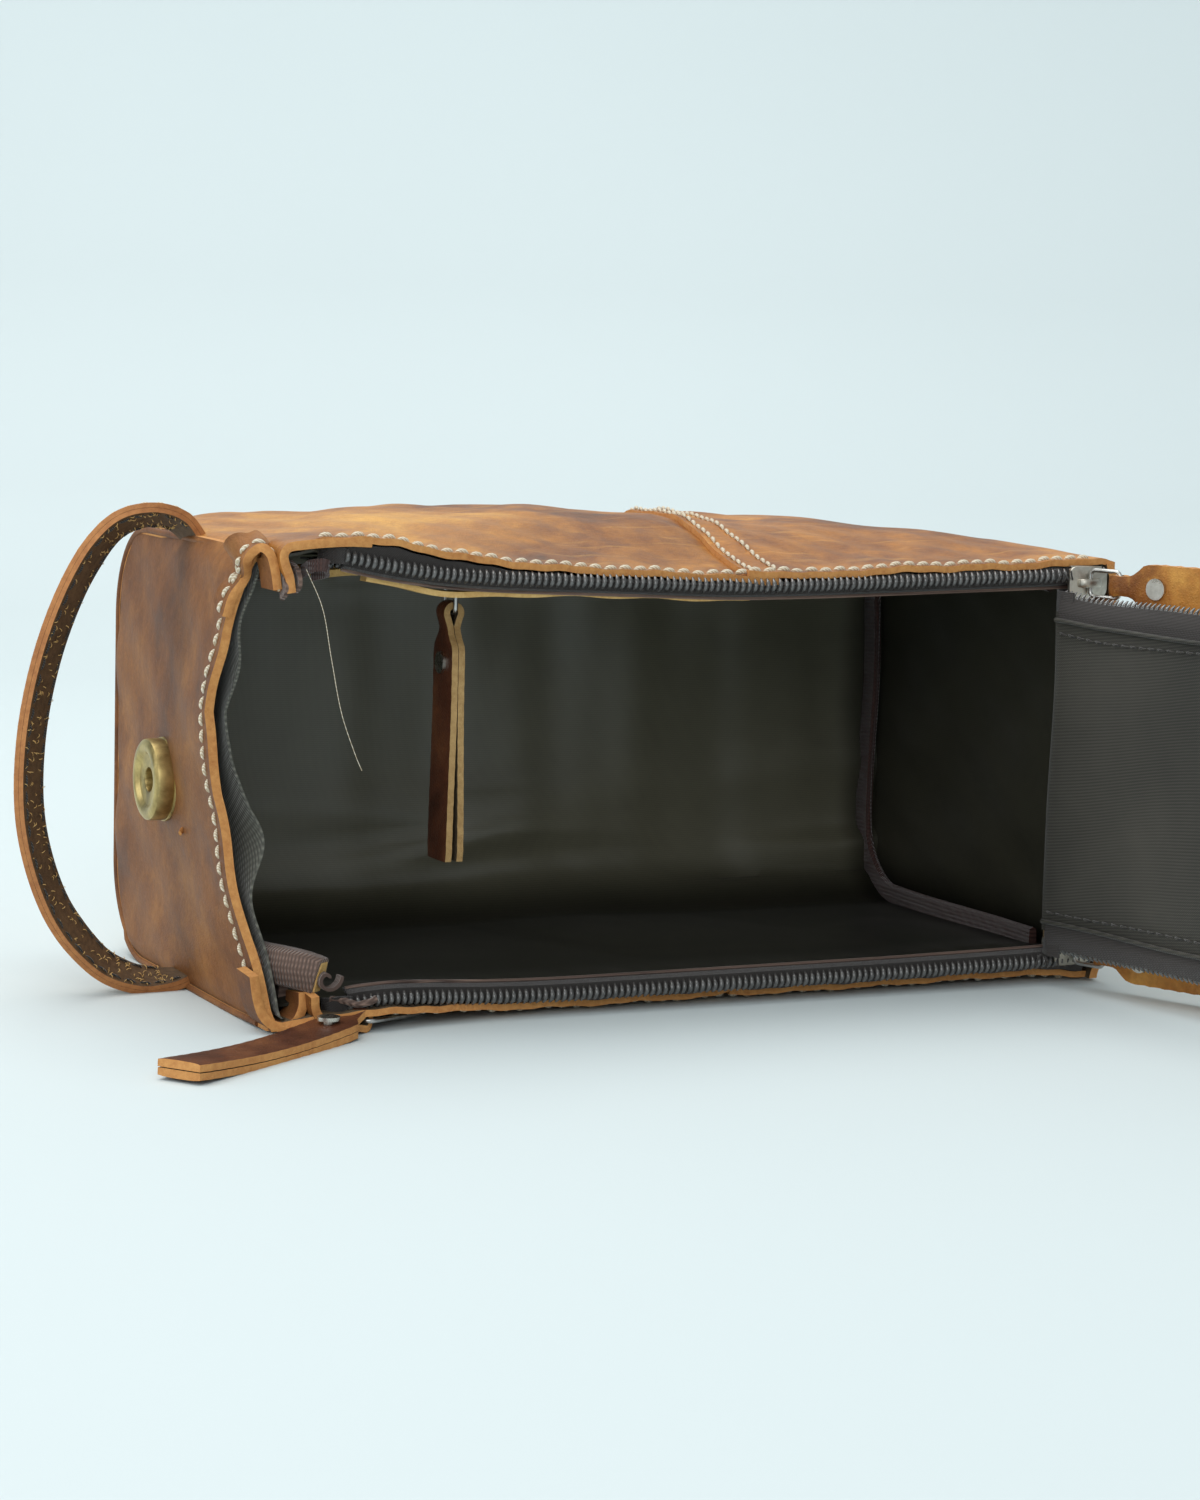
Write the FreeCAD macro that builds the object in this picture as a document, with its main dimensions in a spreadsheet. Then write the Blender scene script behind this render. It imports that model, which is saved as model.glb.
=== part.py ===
import FreeCAD, Part
import os
import math
import Sketcher

# Leather toiletry bag lying on one long panel, lid swung open on its end hinge.
# +X (right) runs towards the hinge end, -Y (front) out of the mouth, +Z up.
# z = 0 is the lying face; x = 0 and y = 0 are the middle of the bag.

os.makedirs("parts", exist_ok=True)
doc = FreeCAD.newDocument("toiletry_bag")
V = FreeCAD.Vector
Turn = FreeCAD.Rotation

# Driving dimensions: (alias, millimetres or degrees).
SIZES = [
    # shell: outer half sizes, skins, and the lips that sag in front of the kink
    ("half_len", 101.5), ("half_depth", 53.0), ("height", 100.0), ("corner_rad", 22.0),
    ("leather", 2.0), ("lip_kink", 33.0), ("lip_sag", 3.0),
    ("gusset_dip", 16.0), ("gusset_foot", 50.0), ("seam_mouth", 11.5), ("seam_angle", 8.05),
    # lining and bound seams
    ("lining", 0.8), ("lining_off", 4.8), ("lining_half", 97.6), ("lining_mouth", 49.0),
    ("binding_deep", 6.2), ("binding_thick", 3.2), ("binding_mouth", 47.0),
    # lid, its tab, and the tongue beyond the fold
    ("hinge_pos", 85.25), ("hinge_face", 53.2), ("lid_open", 100.0), ("lid_half", 1.0),
    ("lid_len", 166.0), ("lid_low", 11.2), ("lid_high", 88.8),
    ("tab_len", 193.1), ("tab_low", 30.0), ("tab_high", 64.0), ("fold_pos", 195.1),
    ("tongue_len", 76.0), ("tongue_low", 31.0), ("tongue_high", 63.0), ("tongue_skin", 1.8),
    # main zips
    ("zip_upper", 91.8), ("zip_lower", 8.2), ("zip_start", 80.0), ("zip_end", 97.0),
    ("coil_wide", 2.2), ("coil_gap", 0.6), ("coil_front", 53.9), ("coil_back", 51.6),
    ("tape_thick", 0.5), ("tape_face", 51.0),
    ("slider_pos", 92.3), ("slider_half", 5.0), ("slider_wide", 3.9), ("web_half", 0.3),
    # magnetic snap
    ("snap_depth", 6.5), ("snap_high", 45.5), ("snap_rad", 9.0), ("snap_thick", 4.4),
    ("snap_hole", 2.6),
    # hand strap
    ("strap_wide", 5.0), ("strap_bow", 38.0), ("strap_skin", 1.6), ("strap_root", 103.0),
    ("strap_half", 50.0),
    # pockets: zip line, slider place and ends of the opening
    ("inner_line", 25.0), ("inner_slider", 50.5), ("pocket_left", 80.0), ("pocket_right", 44.0),
    ("outer_line", 45.0), ("outer_face", 1.8), ("outer_slider", 66.0), ("outer_right", 60.0),
    ("outer_tilt", 8.53),
    # wire links, leather pulls and their rivets
    ("wire", 0.9), ("link_long", 8.0), ("link_outer", 20.0), ("link_half", 3.5),
    ("pull_len", 54.0), ("pull_half", 5.25), ("pull_skin", 1.6), ("neck_half", 2.1),
    ("rivet_at", 11.0), ("rivet_rad", 2.4),
    ("pull_turn", 22.0), ("outer_turn", 35.0), ("outer_pull_len", 62.0),
]


# ---------- sizes that carry their sheet expression
class Size:
    """A value with its number and the sheet expression that gives it."""

    def __init__(self, number, text):
        self.number = float(number)
        self.text = text

    def __add__(self, other):
        other = size(other)
        return Size(self.number + other.number, "(%s + %s)" % (self.text, other.text))

    def __sub__(self, other):
        other = size(other)
        return Size(self.number - other.number, "(%s - %s)" % (self.text, other.text))

    def __rsub__(self, other):
        return size(other) - self

    def __mul__(self, other):
        other = size(other)
        return Size(self.number * other.number, "(%s * %s)" % (self.text, other.text))

    def __neg__(self):
        return Size(-self.number, "(0 - %s)" % self.text)


def size(value):
    if isinstance(value, Size):
        return value
    return Size(value, "%r" % float(value))


class Dims:
    """One Size for each alias of the sheet."""


dim = Dims()
sheet = doc.addObject("Spreadsheet::Sheet", "dims")
for row, (alias, number) in enumerate(SIZES, 1):
    sheet.set("A%d" % row, alias)
    sheet.set("B%d" % row, "%r" % number)
    sheet.setAlias("B%d" % row, alias)
    setattr(dim, alias, Size(number, "<<dims>>.%s" % alias))
doc.recompute()

pieces = []


# ---------- bodies, sketches and features
def new_body(label, frame=None):
    """A body to export; frame is its (place, rotation)."""
    body = doc.addObject("PartDesign::Body", label)
    body.Label = label
    if frame is not None:
        place, rotation = frame
        place = [size(value) for value in place]
        body.Placement = FreeCAD.Placement(V(*[value.number for value in place]), rotation)
        for axis, value in zip("xyz", place):
            body.setExpression("Placement.Base." + axis, value.text)
    pieces.append(body)
    return body


def sketch_on(body, plane, loops, offset):
    """Closed loops of corners, or ("circle", u, v, radius), fixed from the sketch origin."""
    sketch = body.newObject("Sketcher::SketchObject", body.Label + "_sketch")
    origin = body.Origin.OriginFeatures
    sketch.AttachmentSupport = [(next(item for item in origin if item.Role == plane), "")]
    sketch.MapMode = "FlatFace"
    sketch.AttachmentOffset = FreeCAD.Placement(V(0, 0, offset.number), Turn())
    sketch.setExpression("AttachmentOffset.Base.z", offset.text)
    driven = []

    def drive(value, kind, *where):
        constraint = Sketcher.Constraint(kind, *where, value.number)
        driven.append((sketch.addConstraint(constraint), value))

    for loop in loops:
        if loop[0] == "circle":
            u, v, radius = [size(value) for value in loop[1:]]
            circle = Part.Circle(V(u.number, v.number, 0), V(0, 0, 1), radius.number)
            index = sketch.addGeometry(circle, False)
            drive(radius, "Radius", index)
            drive(u, "DistanceX", -1, 1, index, 3)
            drive(v, "DistanceY", -1, 1, index, 3)
            continue
        corners = [(size(u), size(v)) for u, v in loop]
        points = [V(u.number, v.number, 0) for u, v in corners]
        lines = [sketch.addGeometry(Part.LineSegment(start, end), False)
                 for start, end in zip(points, points[1:] + points[:1])]
        for line, following in zip(lines, lines[1:] + lines[:1]):
            sketch.addConstraint(Sketcher.Constraint("Coincident", line, 2, following, 1))
        for line, (u, v) in zip(lines, corners):
            drive(u, "DistanceX", -1, 1, line, 1)
            drive(v, "DistanceY", -1, 1, line, 1)
    for k, (index, value) in enumerate(driven):
        sketch.renameConstraint(index, "c%d" % k)
        if "dims" in value.text:
            sketch.setExpression("Constraints.c%d" % k, value.text)
    return sketch


def extrude(kind, body, plane, loops, span):
    """A pad or pocket whose sketch plane and length cover the span across the plane."""
    low, high = [size(value) for value in span]
    # the normal of the XZ plane points to -Y
    offset = -high if plane == "XZ_Plane" else low
    length = high - low
    sketch = sketch_on(body, plane, loops, offset)
    feature = body.newObject("PartDesign::" + kind, body.Label + "_" + kind.lower())
    feature.Profile = sketch
    feature.Length = length.number
    feature.setExpression("Length", length.text)
    body.Tip = feature
    return feature


def pad(body, plane, loops, span):
    extrude("Pad", body, plane, loops, span)


def pocket(body, plane, loops, span):
    doc.recompute()
    before = body.Shape.Volume
    extrude("Pocket", body, plane, loops, span).Reversed = True
    doc.recompute()
    if not body.Shape.Volume < before - 1e-3:
        raise RuntimeError("pocket cuts nothing: " + body.Label)


def rect(u0, v0, u1, v1):
    return [(u0, v0), (u1, v0), (u1, v1), (u0, v1)]


def block(label, xs, ys, zs, frame=None):
    """A box between pairs of x, y and z."""
    pad(new_body(label, frame), "XY_Plane", [rect(xs[0], ys[0], xs[1], ys[1])], zs)


half, deep, tall = dim.half_len, dim.half_depth, dim.height


def round_base(body, inset):
    """Rounds the two edges along X at the closed back, inset from the outer face."""
    doc.recompute()
    y = (deep - inset).number
    heights = (inset.number, (tall - inset).number)
    names = []
    for k, edge in enumerate(body.Shape.Edges, 1):
        start, end = edge.Vertexes[0].Point, edge.Vertexes[-1].Point
        for z in heights:
            on_corner = all(abs(point.y - y) < 1e-3 and abs(point.z - z) < 1e-3
                            for point in (start, end))
            if on_corner and abs(start.x - end.x) > 1e-3:
                names.append("Edge%d" % k)
    base = body.Tip
    radius = dim.corner_rad - inset
    feature = body.newObject("PartDesign::Fillet", body.Label + "_round")
    feature.Base = (base, names)
    feature.Radius = radius.number
    feature.setExpression("Radius", radius.text)
    body.Tip = feature


# ---------- shell walls and gussets
def wall(label, outer, inner, xs, mouth):
    """A U-shaped wrap between two insets, open at y = -mouth."""
    outer, inner = size(outer), size(inner)
    kink, sag = dim.lip_kink, dim.lip_sag

    def outline(inset):
        return [(-mouth, sag + inset), (-kink, inset), (deep - inset, inset),
                (deep - inset, tall - inset), (-kink, tall - inset),
                (-mouth, tall - sag - inset)]

    body = new_body(label)
    pad(body, "YZ_Plane", [outline(outer) + outline(inner)[::-1]], xs)
    round_base(body, outer)
    round_base(body, inner)
    return body


# Dipped mouth edge of a gusset: (share of gusset_dip, z)
DIP = [(0.5, 84.0), (0.875, 68.0), (1.0, 50.0), (0.875, 32.0), (0.5, 16.0)]


def gusset(label, inset, xs, dipped, mouth_back=0.0):
    """An end panel; its upper front corner stands mouth_back behind the mouth."""
    inset = size(inset)
    kink, sag, foot = dim.lip_kink, dim.lip_sag, dim.gusset_foot
    foot_rise = sag * ((foot.number - kink.number) / (deep.number - kink.number))
    front = [(-deep + mouth_back, tall - sag - inset)]
    if dipped:
        front += [(-deep + dim.gusset_dip * share, z) for share, z in DIP]
        front.append((-foot, inset + 4.0))
    outline = front + [(-foot, foot_rise + inset), (-kink, inset), (deep - inset, inset),
                       (deep - inset, tall - inset), (-kink, tall - inset)]
    body = new_body(label)
    pad(body, "YZ_Plane", [outline], xs)
    round_base(body, inset)


def outer_leather():
    """One wrap, slotted for the outer pocket, split in two panels along a slanted seam."""
    skin = dim.leather
    wrap = wall("wrap_blank", 0.0, skin, (skin - half, half - skin), deep)
    pieces.remove(wrap)
    line = dim.outer_line
    slot = rect(-dim.pocket_left - 2.6, -line - 5.0, dim.outer_right, -line + 4.0)
    pocket(wrap, "XY_Plane", [slot], (-1.0, 8.0))

    # the cutter starts 130 in front of the mouth; the slant moves its edge 18.4 in x by there
    corner_x = dim.seam_mouth - 18.4
    corner_y = -deep - 130.0
    angle = -dim.seam_angle
    cutter_high = tall + 20.0
    cutter = doc.addObject("Part::Box", "seam_cutter")
    cutter.Length, cutter.Width, cutter.Height = 240, 260, cutter_high.number
    cutter.Placement = FreeCAD.Placement(V(corner_x.number, corner_y.number, -10),
                                         Turn(V(0, 0, 1), angle.number))
    cutter.setExpression("Height", cutter_high.text)
    cutter.setExpression("Placement.Base.x", corner_x.text)
    cutter.setExpression("Placement.Base.y", corner_y.text)
    cutter.setExpression("Placement.Rotation.Angle", angle.text)
    doc.recompute()
    for label, kind in (("wrap_panel_right", "Part::Common"), ("wrap_panel_left", "Part::Cut")):
        panel = doc.addObject(kind, label)
        panel.Base, panel.Tool = wrap, cutter
        panel.Label = label
        pieces.append(panel)

    gusset("gusset_left", 0.0, (-half, skin - half), True)
    gusset("gusset_right", 0.0, (half - skin, half), False)


def lining():
    """Lining hung clear of the leather, and the bound seams inside the two ends."""
    end = dim.lining_half
    inner = dim.lining_off + dim.lining
    wrap = wall("lining_wrap", dim.lining_off, inner, (-end, end), dim.lining_mouth)
    line = dim.inner_line
    slot = rect(-dim.pocket_left, -line - 4.0, dim.pocket_right, -line + 4.0)
    pocket(wrap, "XY_Plane", [slot], (90.0, 99.0))

    near = end + 0.1
    far = near + dim.lining
    gusset("lining_gusset_left", 2.6, (-far, -near), True, mouth_back=1.6)
    gusset("lining_gusset_right", 2.6, (near, far), False, mouth_back=1.6)

    outer = inner + 0.1
    thick = dim.binding_thick
    for side, xs in (("left", (-end, -end + thick)), ("right", (end - thick, end))):
        wall("seam_binding_" + side, outer, outer + dim.binding_deep, xs, dim.binding_mouth)


# ---------- main zips on the shell, and the fixed strip beyond the hinge
def shell_zips():
    upper, lower = dim.zip_upper + dim.coil_gap, dim.zip_lower - dim.coil_gap
    face = dim.tape_face
    coil = ((-dim.zip_start, dim.zip_end), (-dim.coil_front, -dim.coil_back))
    tape = ((-dim.zip_start - 3.0, dim.zip_end), (-face - dim.tape_thick, -face))
    block("zip_coil_shell_upper", *coil, (upper, upper + dim.coil_wide))
    block("zip_coil_shell_lower", *coil, (lower - dim.coil_wide, lower))
    block("zip_tape_shell_upper", *tape, (upper, tall - 4.9))
    block("zip_tape_shell_lower", *tape, (4.9, lower))


def end_bridge():
    block("end_bridge", (dim.hinge_pos + 1.95, half - dim.leather),
          (-(dim.hinge_face + dim.lid_half), -(dim.hinge_face - dim.lid_half)),
          (dim.lid_low, dim.lid_high))


# ---------- female side of the magnetic snap, on the left gusset
def snap_female():
    radius = dim.snap_rad
    base = -half - 0.02
    top = base - dim.snap_thick

    def disc(disc_radius):
        return [("circle", dim.snap_depth, dim.snap_high, disc_radius)]

    cap = new_body("snap_female_cap")
    pad(cap, "YZ_Plane", disc(radius), (top, base))
    # dished face, centre hole and magnet chamber
    pocket(cap, "YZ_Plane", disc(radius - 2.6), (top, top + 0.5))
    pocket(cap, "YZ_Plane", disc(dim.snap_hole), (top, -half - 2.0))
    pocket(cap, "YZ_Plane", disc(radius - 1.8), (-half - 2.1, base))
    magnet = new_body("snap_magnet")
    pad(magnet, "YZ_Plane", disc(radius - 1.9), (-half - 2.0, -half - 0.05))
    washer = new_body("snap_female_washer")
    inside = dim.leather - half
    pad(washer, "YZ_Plane", disc(radius - 1.0), (inside + 0.05, inside + 0.85))


# ---------- pockets
def pocket_zip(prefix, right, centre, coil_zs, tape_zs, frame=None):
    """Two coils and two tapes along X, either side of y = centre."""
    left = -dim.pocket_left
    sides = (("front", (centre - 2.5, centre - 0.5), (centre - 6.0, centre - 0.5)),
             ("back", (centre + 0.5, centre + 2.5), (centre + 0.5, centre + 6.0)))
    for side, coil_ys, tape_ys in sides:
        block(prefix + "_coil_" + side, (left + 1.0, right - 1.0), coil_ys, coil_zs, frame)
        block(prefix + "_tape_" + side, (left - 3.0, right + 3.0), tape_ys, tape_zs, frame)


def inner_pocket():
    """Pocket inside the upper wall."""
    left, right, line = -dim.pocket_left, dim.pocket_right, -dim.inner_line
    facing = new_body("inner_pocket_facing")
    pad(facing, "XY_Plane",
        [rect(left - 4.0, line - 8.0, right + 4.0, line + 8.0),
         rect(left, line - 4.0, right, line + 4.0)],
        (tall - 7.0, tall - 5.7))
    pocket_zip("inner_pocket", right, line, (tall - 5.5, tall - 4.5), (tall - 4.4, tall - 4.0))
    block("inner_pocket_bag", (left - 2.0, right + 2.0), (line + 7.0, 28.0),
          (tall - 3.7, tall - 2.2))


def outer_pocket():
    """Pocket in the panel the bag lies on; its zip follows the slope of the lip."""
    slope = Turn(V(1, 0, 0), -dim.outer_tilt.number)
    frame = ((0.0, -dim.outer_line, dim.outer_face), slope)
    right = dim.outer_right
    pocket_zip("outer_pocket", right, 0.0, (1.05, 1.95), (2.15, 2.55), frame)
    block("outer_pocket_bag", (-dim.pocket_left - 2.0, right + 2.0), (-30.0, 28.0), (2.2, 3.7))


# ---------- lid, drawn closed from its hinge line and swung open as a body
swing = Turn(V(0, 0, 1), dim.lid_open.number)


def lid():
    frame = ((dim.hinge_pos, -dim.hinge_face, 0.0), swing)
    low, high, end = dim.lid_low, dim.lid_high, -dim.lid_len
    tab_low, tab_high, tab_end = dim.tab_low, dim.tab_high, -dim.tab_len
    leather = new_body("lid_leather", frame)
    outline = [(-1.6, low), (-1.6, high), (end, high), (end - 14.0, tab_high),
               (tab_end, tab_high), (tab_end, tab_low), (end - 14.0, tab_low), (end, low)]
    pad(leather, "XZ_Plane", [outline], (-dim.lid_half, dim.lid_half))
    block("lid_lining", (end + 2.0, -2.0), (1.1, 1.9), (low + 1.9, high - 1.9), frame)

    upper, lower = dim.zip_upper - dim.coil_gap, dim.zip_lower + dim.coil_gap
    coil = ((end + 1.0, -9.0), (-0.7, 1.6))
    tape = ((end + 1.0, -9.0), (1.65, 2.15))
    block("lid_zip_coil_upper", *coil, (upper - dim.coil_wide, upper), frame)
    block("lid_zip_coil_lower", *coil, (lower, lower + dim.coil_wide), frame)
    block("lid_zip_tape_upper", *tape, (high - 1.8, upper), frame)
    block("lid_zip_tape_lower", *tape, (lower, low + 1.8), frame)


def tongue():
    """Two-skin tongue beyond the fold line, with the male side of the snap."""
    opening = math.radians(dim.lid_open.number)
    cosine = Size(math.cos(opening), "cos(<<dims>>.lid_open * 1 deg)")
    sine = Size(math.sin(opening), "sin(<<dims>>.lid_open * 1 deg)")
    # fold line: (-fold_pos, -lid_half) from the hinge on the closed lid, swung open
    fold_x = dim.hinge_pos - dim.fold_pos * cosine + dim.lid_half * sine
    fold_y = -dim.hinge_face - dim.fold_pos * sine - dim.lid_half * cosine
    frame = ((fold_x, fold_y, 0.0), swing)

    low, high, tip = dim.tongue_low, dim.tongue_high, -dim.tongue_len
    skin = dim.tongue_skin
    outline = [(-2.0, low), (-2.0, high), (tip + 8.0, high), (tip + 2.0, high - 5.0),
               (tip, high - 11.0), (tip, low + 11.0), (tip + 2.0, low + 5.0), (tip + 8.0, low)]
    for label, span in (("tongue_outer", (-skin, 0.0)), ("tongue_inner", (0.0, skin))):
        pad(new_body(label, frame), "XZ_Plane", [outline], span)

    # the snap halves meet when the tongue is folded round the left gusset
    reach = dim.snap_depth + dim.hinge_face + dim.lid_half
    male = new_body("snap_male_stud", frame)
    for radius, span in ((dim.snap_rad, (skin + 0.05, skin + 2.0)),
                         (dim.snap_hole - 0.4, (skin + 1.9, skin + 3.8))):
        pad(male, "XZ_Plane", [("circle", -reach, dim.snap_high, radius)], span)


# ---------- hand strap: two skins back to back, bowed out from the left end
ARC_START, ARC_END, ARC_STEPS = 8.3, 171.7, 22  # degrees along the bow, from the top


def strap_layer(label, outer, inner):
    """One skin between two depths below the outer face of the bow."""
    angles = [math.radians(ARC_START + (ARC_END - ARC_START) * k / ARC_STEPS)
              for k in range(ARC_STEPS + 1)]

    def arc(depth):
        return [(-dim.strap_root - (dim.strap_bow - depth) * math.sin(angle),
                 dim.strap_half + (dim.strap_half - depth) * math.cos(angle))
                for angle in angles]

    pad(new_body(label), "XZ_Plane", [arc(outer) + arc(inner)[::-1]],
        (-dim.strap_wide, dim.strap_wide))


# ---------- sliders
def slider(label, frame, plate, web, inner, bail, slot_end):
    """Two plates, the web between the coils, and a bail for the link.

    Local X is the travel and the bail stands out along local +Y; all are local y.
    """
    long, wide, thin = dim.slider_half, dim.slider_wide, dim.web_half
    body = new_body(label, frame)
    for low, high, span in (
            (plate[0], plate[1], (-wide, wide)),
            (web[0] - 0.05, web[1] + 0.05, (-thin, thin)),
            (inner[0], inner[1], (1.0 - wide, wide - 1.0))):
        pad(body, "XY_Plane", [rect(-long, low, long, high)], span)
    root, top = bail
    loop = [(-3.0, root), (-3.0, top), (3.0, top), (3.0, root),
            (2.2, root), (2.2, slot_end), (-2.2, slot_end), (-2.2, root)]
    pad(body, "XY_Plane", [loop], (-1.0, 1.0))


def sliders():
    # main sliders: bail along -Y
    for side, z in (("upper", dim.zip_upper), ("lower", dim.zip_lower)):
        slider("zip_slider_" + side, ((dim.slider_pos, 0.0, z), Turn(V(1, 0, 0), 180)),
               plate=(54.4, 55.4), web=(50.4, 54.4), inner=(49.5, 50.4),
               bail=(55.3, 57.6), slot_end=57.0)
    # hangs under the upper wall, bail down
    slider("inner_pocket_slider",
           ((-dim.inner_slider, -dim.inner_line, tall), Turn(V(1, 0, 0), -90)),
           plate=(5.95, 6.75), web=(3.7, 5.95), inner=(3.0, 3.7),
           bail=(6.65, 9.1), slot_end=8.5)
    # on the underside of the lower panel, bail down and square to the sloped zip
    slider("outer_pocket_slider",
           ((-dim.outer_slider, -dim.outer_line, dim.outer_face),
            Turn(V(1, 0, 0), -90 - dim.outer_tilt.number)),
           plate=(-0.85, -0.3), web=(-3.0, -0.85), inner=(-3.7, -3.0),
           bail=(-0.35, 1.7), slot_end=1.35)


# ---------- wire links and folded leather pulls, each along its local +X
def link(label, frame, length):
    wire, side = dim.wire, dim.link_half
    near = wire * 0.5
    far = length + near
    cut = 1.2
    outer = [(-near + cut, -side), (far - cut, -side), (far, -side + cut), (far, side - cut),
             (far - cut, side), (-near + cut, side), (-near, side - cut), (-near, -side + cut)]
    hole = rect(near, -side + wire, length - near, side - wire)
    pad(new_body(label, frame), "XZ_Plane", [outer, hole], (-near, near))


def pull(label, frame, length):
    skin = dim.pull_skin + 0.05
    # (x, y) round the outside of the neck, then back round the wire
    neck = [(7.0, skin), (1.8, 2.2), (0.0, 2.45), (-1.75, 1.75), (-2.45, 0.0),
            (-1.75, -1.75), (0.0, -2.45), (1.8, -2.2), (7.0, -skin),
            (7.0, -0.05), (2.2, -0.05), (0.9, -0.72), (0.0, -0.95), (-0.72, -0.72),
            (-0.95, 0.0), (-0.72, 0.72), (0.0, 0.95), (0.9, 0.72), (2.2, 0.05), (7.0, 0.05)]
    body = new_body(label, frame)
    pad(body, "XY_Plane", [neck], (-dim.neck_half, dim.neck_half))
    leaves = [rect(6.0, 0.05, length, skin), rect(6.0, -skin, length, -0.05)]
    pad(body, "XY_Plane", leaves, (-dim.pull_half, dim.pull_half))
    pocket(body, "XZ_Plane", [("circle", dim.rivet_at, 0.0, 1.2)], (-4.0, 4.0))


def rivet(label, frame):
    """Shank and two heads through a pull."""
    skin = dim.pull_skin + 0.05
    body = new_body(label, frame)
    for radius, span in ((1.15, (-skin - 0.1, skin + 0.1)),
                         (dim.rivet_rad, (skin + 0.02, skin + 0.8)),
                         (dim.rivet_rad, (-skin - 0.8, -skin - 0.02))):
        pad(body, "XZ_Plane", [("circle", dim.rivet_at, 0.0, radius)], span)


def frame_turn(x_way, z_way):
    x, z = V(x_way).normalize(), V(z_way).normalize()
    return Turn(x, z.cross(x), z, "ZXY")


def pull_set(name, place, link_way, pull_way, bar_way, link_length, pull_length):
    """A link from place along link_way, and a pull with its rivet from the link's far end.

    bar_way is the way the link's end bars lie.
    """
    link(name % "link", (place, frame_turn(link_way, bar_way)), link_length)
    far = [size(start) + link_length * step
           for start, step in zip(place, V(link_way).normalize())]
    frame = (far, frame_turn(pull_way, bar_way))
    pull(name % "pull", frame, pull_length)
    rivet(name % "rivet", frame)


def pull_sets():
    lean = math.radians(dim.pull_turn.number)
    way = V(math.sin(lean), -math.cos(lean), 0)
    for side, z in (("upper", dim.zip_upper), ("lower", dim.zip_lower)):
        pull_set("zip_%s_" + side, (dim.slider_pos, -56.2, z), way, way, V(0, 0, 1),
                 dim.link_long, dim.pull_len)

    down = V(0, 0, -1)
    pull_set("inner_pocket_%s", (-dim.inner_slider, -dim.inner_line, tall - 7.65),
             down, down, V(0, -1, 0), dim.link_long, dim.pull_len)

    # the outer link climbs out of its bail until the pull lies flat at pull_z
    pull_z = 2.52
    yaw = math.radians(dim.outer_turn.number)
    flat = V(-math.cos(yaw), -math.sin(yaw), 0)
    bar = V(math.sin(yaw), -math.cos(yaw), 0)
    place = (-dim.outer_slider, -dim.outer_line + 0.07, dim.outer_face - 0.6)
    rise = pull_z - place[2].number
    run = math.sqrt(dim.link_outer.number ** 2 - rise ** 2)
    pull_set("outer_pocket_%s", place, V(flat.x * run, flat.y * run, rise), flat, bar,
             dim.link_outer, dim.outer_pull_len)


# ---------- build
outer_leather()
lining()
end_bridge()
shell_zips()
snap_female()
inner_pocket()
outer_pocket()
lid()
tongue()
strap_layer("strap_outer", 0.0, dim.strap_skin)
strap_layer("strap_inner", dim.strap_skin, dim.strap_skin * 2.0)
sliders()
pull_sets()

# ---------- check and write
doc.recompute()
bad = []
for item in doc.Objects:
    if any(word in ("Invalid", "Error") for word in item.State):
        bad.append("%s %s" % (item.Label, item.State))
for piece in pieces:
    if piece.Shape.isNull() or not piece.Shape.isValid() or piece.Shape.Volume < 0.5:
        bad.append("%s shape" % piece.Label)
if bad:
    raise RuntimeError("; ".join(bad))
for piece in pieces:
    shape = piece.Shape
    if len(shape.Solids) == 1:
        shape = shape.Solids[0]
    shape.exportStep("parts/%s.step" % piece.Label)
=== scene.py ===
"""A leather zip case lying on a floor.

The body is a U-shaped wrap, open at the mouth (-Y) and closed at the base (+Y), with a gusset at
each end (-X left, +X right). A lid hinges on the mouth's right end, a tongue ends the lid, and a
hand strap bows out from the left gusset. Lengths are in mm unless noted, with +Z up.
"""
from math import cos, pi, radians, sin, sqrt
import bpy
import numpy as np
from mathutils import Vector, Matrix


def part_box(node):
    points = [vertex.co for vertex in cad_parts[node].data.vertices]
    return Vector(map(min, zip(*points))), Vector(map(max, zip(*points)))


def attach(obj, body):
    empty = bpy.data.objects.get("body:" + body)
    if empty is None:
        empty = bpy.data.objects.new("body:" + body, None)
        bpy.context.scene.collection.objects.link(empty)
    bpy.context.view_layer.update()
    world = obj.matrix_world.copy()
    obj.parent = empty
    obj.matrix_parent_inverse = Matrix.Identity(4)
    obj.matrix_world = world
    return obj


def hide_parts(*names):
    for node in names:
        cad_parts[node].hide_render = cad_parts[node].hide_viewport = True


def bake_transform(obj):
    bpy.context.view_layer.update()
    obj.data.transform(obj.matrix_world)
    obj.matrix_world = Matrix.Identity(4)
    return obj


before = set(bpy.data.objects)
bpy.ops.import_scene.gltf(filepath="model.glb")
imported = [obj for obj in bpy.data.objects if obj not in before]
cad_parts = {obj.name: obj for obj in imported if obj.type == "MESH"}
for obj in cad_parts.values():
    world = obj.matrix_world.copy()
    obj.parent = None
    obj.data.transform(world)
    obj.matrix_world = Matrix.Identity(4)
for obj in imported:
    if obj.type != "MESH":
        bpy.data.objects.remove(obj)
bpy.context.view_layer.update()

rng = np.random.default_rng(7)
MM = 0.001

# ------------------------------------------------------------------ dimensions
HALF_X = 101.5
MOUTH_Y, BASE_Y = -53.0, 53.0
HEIGHT = 100.0
LEATHER_T = 2.0
CORNER_R = 22.0                           # the wrap's two bends at the base
FLAT = BASE_Y - CORNER_R - MOUTH_Y        # mouth to bend
ARC = pi / 2 * CORNER_R
RISE = HEIGHT - 2 * CORNER_R
GIRTH = 2 * FLAT + 2 * ARC + RISE
SIDES = ((-1, "left"), (1, "right"))
LEVELS = (("upper", 1), ("lower", -1))

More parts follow.
